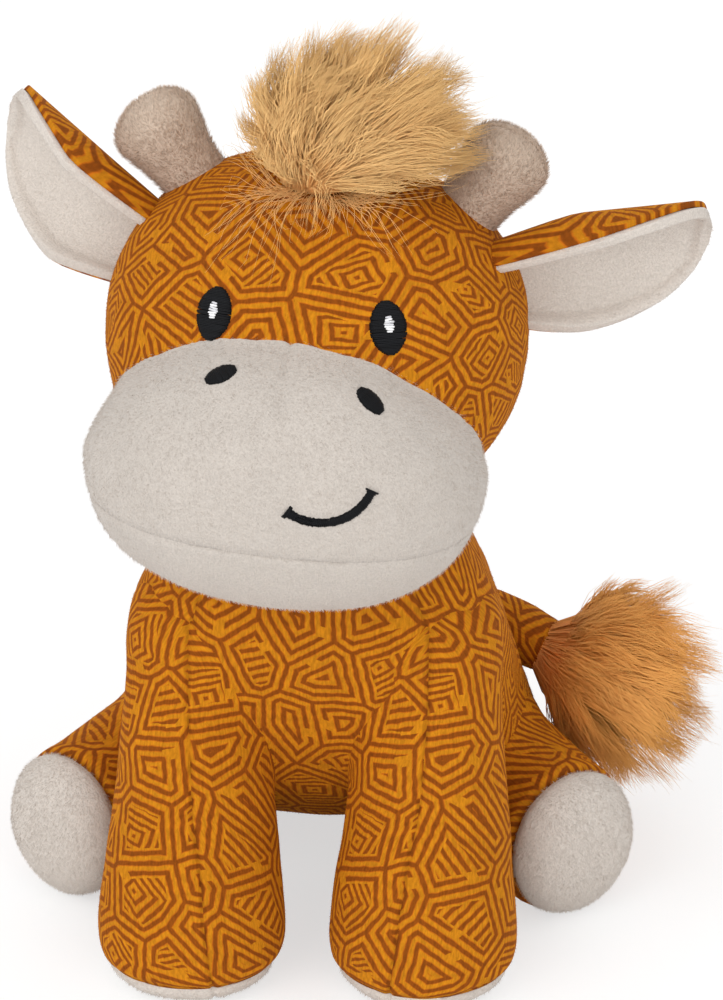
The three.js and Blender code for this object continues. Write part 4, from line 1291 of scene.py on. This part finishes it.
class GIRAFFE_OT_face_pile(bpy.types.Operator):
    """Raises the pile of the head, muzzle and chin, which stops at each seam and under the embroidery"""

    bl_idname = "giraffe.face_pile"
    bl_label = "Pile of the face"

    def execute(self, context):
        ball, snout = head_form(), muzzle_form()

        def bare(root):
            return np.array([FORMS["threads"].find(point)[2] > 0.8 * MM for point in root])

        def on_muzzle(root, normal):
            level = np.abs(ball.local(root)[:, 2] - LIP_SEAM_HEIGHT * MM)
            return (ball.size(root) > 0.97) & (level > 0.25 * MM) & bare(root)

        def on_head(root, normal):
            return (snout.size(root) > 0.99) & bare(root)

        for name, count, seed in (("muzzle", 38000, 81), ("chin", 19000, 82)):
            under = bpy.data.objects[f"{name}_plush"]
            cream_pile(f"{name}_pile", "Muzzle", under, count, (0.1, -0.1, -1), seed, on_muzzle, "head")
        velour_pile("head_pile", bpy.data.objects["head_velour"], 26000, 85, "head", on_head)
        return {"FINISHED"}


def horn_form(name):
    """A club that stands in the head's ball, widest near its end."""
    side = SIDES[name]
    splay = math.radians(HORN_SPLAY[name])
    run = Vector((side * math.sin(splay), 0, math.cos(splay)))
    used = (HORN_ROOT[0] / HEAD_HALVES[0]) ** 2 + (HORN_ROOT[1] / HEAD_HALVES[1]) ** 2
    root = Vector((side * HORN_ROOT[0], HORN_ROOT[1], HEAD_HALVES[2] * math.sqrt(1 - used)))
    ways = (-HORN_SUNK, HORN_LENGTH * 0.2, HORN_LENGTH * 0.65, HORN_LENGTH)
    spine = [root + run * way for way in ways]
    place = Matrix.Translation(Vector(HEAD_CENTRE)) @ HEAD_TURN
    halves = [(half, half * HORN_FLATNESS) for half in HORN_HALVES]
    width_axis = tuple(HEAD_TURN @ Vector((1, 0, 0)))
    return Loft([place @ p for p in spine], halves, width_axis, blunt=(6, 2.2))


class GIRAFFE_OT_horns(bpy.types.Operator):
    """Sews the horns: clubs of taupe plush that lean outwards, with a seam round each"""

    bl_idname = "giraffe.horns"
    bl_label = "Horns"

    def execute(self, context):
        taupe = context.scene.giraffe_colours.taupe
        ground = plush("Taupe plush ground", taupe)
        # The pile is much darker at its roots, as painted shade deep in it.
        short = fibres("Taupe plush pile", rgba(taupe, 0.62), rgba(taupe, 1.1), 0.12, 0.8, 0.3)
        for name, side in SIDES.items():
            form = horn_form(name)
            piece, grid, _ = stuffed(f"horn_plush_{name}", form, 80, 64)
            share, _ = along_and_about(grid)
            side_seam = np.abs(grid[:, 1]) / np.maximum(np.hypot(grid[:, 0], grid[:, 1]), 1e-6)
            swell(piece, groove(side_seam * form.girth(share), 0.6 * MM, 1.0 * MM))
            crumple(piece, 0.4 * MM, 101 + side)
            smooth(piece)
            dress(piece, ground, "taupe_plush", "head", (f"horn_cover_{name}", f"horn_filling_{name}"))
            nap = pile(
                f"horn_pile_{name}", piece, 11000, 1.6 * MM, (side * 0.5, 0, 1), 103 + side,
                keep=lambda root, normal: distance_to(root, FORMS["head"]) > -0.3 * MM,
                lean=1.0, width=0.09 * MM,
            )
            dress(nap, short, "taupe_plush", "head")
        return {"FINISHED"}


def ear_place(name):
    """Where an ear's root is on the head, with x out along the ear and the lining facing -y."""
    side = SIDES[name]
    turn = (
        Matrix.Rotation(math.radians(EAR_SWEEP[name]), 4, "Z")
        @ Matrix.Rotation(-math.radians(EAR_LIFT[name]), 4, "Y")
        @ Matrix.Rotation(math.radians(EAR_FACING_DOWN[name]), 4, "X")
    )
    mirror = Matrix.Scale(side, 4, (1, 0, 0))
    root = Vector((EAR_ROOT[0], EAR_ROOT[1], EAR_RISE[name])) * MM
    return HEAD_PLACE @ mirror @ Matrix.Translation(root) @ turn


def ear_layer(title, name, lift, rim):
    """One layer of an ear: a leaf of cloth rolled about its length, more tightly at the pleated root.

    Gives the piece and its flat area."""
    bpy.ops.object.select_all(action="DESELECT")
    bpy.ops.mesh.primitive_grid_add(x_subdivisions=56, y_subdivisions=44, size=2, calc_uvs=False)
    piece = bpy.context.object
    piece.name = piece.data.name = title
    flat = read(piece)
    walk = np.sin((flat[:, 0] + 1) * math.pi / 4)
    curve = along_curve(np.array(EAR_LEAF, float) * MM, walk, even=True) * (EAR_REACH[name], 1, 1)
    x, y = curve[:, 0], flat[:, 1] * (curve[:, 1] + rim)
    cup = curve[:, 2]
    turn = y / cup
    write(piece, np.stack([x, (cup + lift) * np.cos(turn) - cup, (cup + lift) * np.sin(turn)], 1))
    area = sum(face.area for face in piece.data.polygons)
    lay_map(piece, "cloth", np.stack([x, y], 1)[corner_points(piece.data)])
    place = np.array(ear_place(name))
    write(piece, placed(read(piece), place))
    modified(piece, "SOLIDIFY", thickness=EAR_CLOTH * MM, offset=0)
    modified(piece, "BEVEL", width=0.6 * MM, segments=2, limit_method="ANGLE", angle_limit=math.radians(50))
    in_edit(piece, outwards)
    if rim > 0:
        roll_rim(piece, place, curve[np.argsort(curve[:, 0])])
    gather_root(piece, place)
    smooth(piece)
    return piece, area


def roll_rim(piece, place, curve):
    """Raises the lining along its edge, where the turned seam lies under it."""
    points, bent = local_to(place, read(piece)), normals(piece) @ place[:3, :3]
    half, cup = (np.interp(points[:, 0], curve[:, 0], curve[:, i]) for i in (1, 2))
    turn = np.arctan2(points[:, 2], points[:, 1] + cup)
    inward = np.stack([np.zeros(len(turn)), -np.cos(turn), -np.sin(turn)], 1)
    away = np.minimum(half - np.abs(turn) * cup, curve[-1, 0] - points[:, 0])
    low, high = EAR_RIM_WIDTHS
    height = EAR_RIM * MM * (1 - smoothly(away, low * MM, high * MM)) * np.clip((bent * inward).sum(1), 0, 1)
    write(piece, placed(points + inward * height[:, None], place))


def gather_root(piece, place):
    """Draws the root of an ear down into the seam on the head, where it is pleated."""
    points = read(piece)
    along = local_to(place, points)[:, 0]
    out = (head_form().size(points) - 1) * HEAD_HALVES[0] * MM + EAR_TUCK * MM
    low, high = EAR_PLEATS
    tuck = np.maximum(out, 0) * (1 - smoothly(along, low * MM, high * MM))
    write(piece, points - unit_rows(points - np.array(HEAD_CENTRE) * MM) * tuck[:, None])


class GIRAFFE_OT_ears(bpy.types.Operator):
    """Sews the ears: leaves of printed velour lined with cream plush, cupped and pleated at the root"""

    bl_idname = "giraffe.ears"
    bl_label = "Ears"

    def execute(self, context):
        for name, side in SIDES.items():
            place = ear_place(name)
            # The root stays in the head's seam while the rest of the ear droops.
            back, lining = f"ear_back_{name}", f"ear_lining_{name}"
            layers = (
                ("velour", 0.95 * MM, -0.9 * MM, printed_velour(), "printed_velour", back),
                ("plush", -0.75 * MM, 0.3 * MM, cream_ground("Ear"), "cream_plush", lining),
            )
            for word, lift, rim, material, slot, node in layers:
                piece, area = ear_layer(f"ear_{word}_{name}", name, lift, rim)
                dress(piece, material, slot, None, (node,))
                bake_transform(piece)
            inward = np.array(place.to_3x3() @ Vector((0, -1, 0)))

            def on_lining(root, normal):
                return (normal @ inward > -0.05) & (distance_to(root, FORMS["head"]) > 0)

            nap = cream_pile(
                f"ear_pile_{name}", "Ear", piece, 20000, (side, 0, -0.5), 111 + side, on_lining,
                length=0.9 * MM, lean=1.3,
            )
            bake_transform(nap)
        return {"FINISHED"}


class GIRAFFE_OT_crown(bpy.types.Operator):
    """Sews the crown tuft: long pile that stands up from the top of the head and falls over the forehead"""

    bl_idname = "giraffe.crown"
    bl_label = "Crown tuft"

    def execute(self, context):
        ball = head_form()
        rng = np.random.default_rng(121)
        count = context.scene.giraffe_sizes.crown_strands
        way, out = from_ball(count, rng, -0.5, Matrix.Identity(3))
        tips = np.array(CROWN_CENTRE) + way * np.array(CROWN_HALVES) * out
        # Three strands in four spring from a whorl at the front of the crown, and the rest from behind it.
        behind = (np.arange(count) % 4 == 0)[:, None]
        roots = np.zeros((count, 3))
        spread = np.where(behind, (14, 9), (8, 5)) * rng.uniform(0.35, 1, (count, 1))
        roots[:, :2] = np.where(behind, (3, 0), (-2, -12)) + way[:, :2] * spread
        ahead = unit_rows(tips - roots - (0, 0, 40))
        rises = ahead * 0.7 + (0, 0, 0.6)
        # A strand whose tip is at the front of the tuft lies along it there, and isn't seen end on.
        out_of_tuft = unit_rows(way / np.array(CROWN_HALVES))
        facing = (ahead * out_of_tuft).sum(1) * 0.9 * np.clip(-out_of_tuft[:, 1], 0, 1)
        flows = ahead - out_of_tuft * facing[:, None] + (0.25, 0, -0.2) + rng.normal(0, 0.14, (count, 3))
        # One strand in forty is a finer one, which falls over the forehead and ends on the head.
        fringe = np.arange(count) % 40 == 1
        thickness = np.where(fringe, 0.5, 1.0)
        n = fringe.sum()
        side = rng.uniform(-32, 30, n)
        drop = np.where(side < -6, 19, 9) * rng.random(n) ** 2.5
        tips[fringe] = np.stack([side, np.zeros(n), 39.5 - drop], 1)
        wide, deep, high = HEAD_HALVES
        tips[fringe, 1] = -deep * over_ball(tips[fringe, 0] / wide, tips[fringe, 2] / high)
        roots[fringe, :2] = np.stack([side * 0.3, rng.uniform(-19, -14, n)], 1)
        rises[fringe] = np.stack([side * 0.02, np.full(n, -0.75), rng.uniform(0.35, 0.8, n)], 1)
        flows[fringe] = np.stack([side * 0.012, rng.normal(0, 0.1, n), np.full(n, -1.0)], 1)
        roots[:, 2] = high * over_ball(roots[:, 0] / wide, roots[:, 1] / deep) - 0.5
        roots, tips = ball.placed(roots * MM), ball.placed(tips * MM)
        middle = ball.placed(np.array([CROWN_CENTRE], float) * MM - (0, 0, 6 * MM))[0]
        turn = np.array(HEAD_TURN)[:3, :3].T
        rises, flows = unit_rows(rises) @ turn, unit_rows(flows) @ turn
        strands = (roots, rises, tips, flows, thickness)
        long_pile(
            "crown", "head", context.scene.giraffe_colours.crown, "#FFBC74", strands, 123, 0.78, middle,
            clear=lambda points: ball.held_out(points, 0.9 * MM),
        )
        return {"FINISHED"}


def over_ball(a, b):
    """The third share of a place on the head's ball, from two of them."""
    return np.maximum(1 - np.abs(a) ** HEAD_FULLNESS - np.abs(b) ** HEAD_FULLNESS, 0) ** (1 / HEAD_FULLNESS)


class GIRAFFE_OT_squeaker(bpy.types.Operator):
    """Finishes the squeaker that lies in the belly"""

    bl_idname = "giraffe.squeaker"
    bl_label = "Squeaker"

    def execute(self, context):
        vinyl = blown_vinyl()
        for name in ("squeaker_bulb", "squeaker_reed"):
            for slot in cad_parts[name].material_slots:
                slot.material = vinyl
        return {"FINISHED"}


class GIRAFFE_OT_stage(bpy.types.Operator):
    """Sets the floor, the lamps, the sky and the camera"""

    bl_idname = "giraffe.stage"
    bl_label = "Stage"

    def execute(self, context):
        scene = context.scene
        bpy.ops.object.select_all(action="DESELECT")
        bpy.ops.mesh.primitive_plane_add(size=6, location=(0, 0, -0.0002))
        floor = bpy.context.object
        floor.name = "floor"
        material, node = fresh("White paper sweep")
        paper = node("BsdfPrincipled", {"Base Color": rgba(linear("#F4F4F4")), "Roughness": 0.9})
        # The eye sees the same paper with its shadow paler, and pure white where none falls.
        shaded = node("BsdfDiffuse", {"Color": (0.45, 0.45, 0.45, 1)})
        white = node("Emission", {"Color": (1, 1, 1, 1), "Strength": 0.62})
        pale = node("AddShader", shaded, white)
        both = node("MixShader", seen_by_eye(node), paper, pale)
        node("OutputMaterial", {"Surface": both})
        floor.data.materials.append(material)
        for name, way, power in (("key", (-0.7, -0.85, 0.6), 1.05), ("fill", (0.6, -1.0, 0.15), 1.0)):
            lamp = bpy.data.lights.new(name, "SUN")
            lamp.angle, lamp.energy = math.radians(50), power
            holder = bpy.data.objects.new(name, lamp)
            holder.rotation_euler = Vector(way).to_track_quat("Z", "Y").to_euler()
            scene.collection.objects.link(holder)
        world = bpy.data.worlds.new("Soft white studio")
        scene.world = world
        world.use_nodes = True
        world.node_tree.nodes.clear()
        node = partial(add, world.node_tree)
        sky = node("Background", {"Color": (1, 1, 1, 1), "Strength": 0.77})
        white = node("Background", {"Color": (1, 1, 1, 1), "Strength": 1.0})
        shown = node("MixShader", seen_by_eye(node), sky, white)
        node("OutputWorld", {"Surface": shown})
        scene.view_settings.view_transform = "Standard"
        camera = bpy.data.cameras.new("photograph")
        camera.sensor_fit, camera.sensor_height, camera.lens = "VERTICAL", 24, 96
        holder = bpy.data.objects.new("photograph", camera)
        rise, turn = math.radians(CAMERA_RISE), math.radians(CAMERA_TURN)
        back = Vector((math.sin(turn) * math.cos(rise), -math.cos(turn) * math.cos(rise), math.sin(rise)))
        aim = Vector(CAMERA_AIM) + Vector((math.cos(turn), math.sin(turn), 0)) * CAMERA_ASIDE
        holder.location = aim + back
        holder.rotation_euler = (-back).to_track_quat("-Z", "Y").to_euler()
        scene.collection.objects.link(holder)
        scene.camera = holder
        return {"FINISHED"}


def seen_by_eye(node):
    """Whether a ray comes from the camera, straight or by way of something glossy or clear."""
    path = node("LightPath").outputs
    by_way = node("Math", path["Is Glossy Ray"], path["Is Transmission Ray"], operation="MAXIMUM")
    return node("Math", path["Is Camera Ray"], by_way, operation="MAXIMUM")


PIECES = (
    GIRAFFE_OT_torso,
    GIRAFFE_OT_front_legs,
    GIRAFFE_OT_hind_legs,
    GIRAFFE_OT_tail,
    GIRAFFE_OT_head,
    GIRAFFE_OT_face,
    GIRAFFE_OT_face_pile,
    GIRAFFE_OT_horns,
    GIRAFFE_OT_ears,
    GIRAFFE_OT_crown,
    GIRAFFE_OT_squeaker,
    GIRAFFE_OT_stage,
)


class GIRAFFE_PT_panel(bpy.types.Panel):
    """Lists the pieces of the toy and its sizes and colours"""

    bl_idname = "GIRAFFE_PT_panel"
    bl_label = "Plush giraffe"
    bl_space_type = "VIEW_3D"
    bl_region_type = "UI"
    bl_category = "Plush giraffe"

    def draw(self, context):
        for piece in PIECES:
            self.layout.operator(piece.bl_idname)
        for group in (context.scene.giraffe_sizes, context.scene.giraffe_colours):
            for name in group.__annotations__:
                self.layout.prop(group, name)


CLASSES = (GiraffeSizes, GiraffeColours, *PIECES, GIRAFFE_PT_panel)


def register():
    for made in CLASSES:
        bpy.utils.register_class(made)
    bpy.types.Scene.giraffe_sizes = PointerProperty(type=GiraffeSizes)
    bpy.types.Scene.giraffe_colours = PointerProperty(type=GiraffeColours)


def unregister():
    del bpy.types.Scene.giraffe_colours
    del bpy.types.Scene.giraffe_sizes
    for made in reversed(CLASSES):
        bpy.utils.unregister_class(made)


def main():
    register()
    shape_neighbours()
    for piece in PIECES:
        family, verb = piece.bl_idname.split(".")
        getattr(getattr(bpy.ops, family), verb)()


if __name__ == "__main__":
    main()
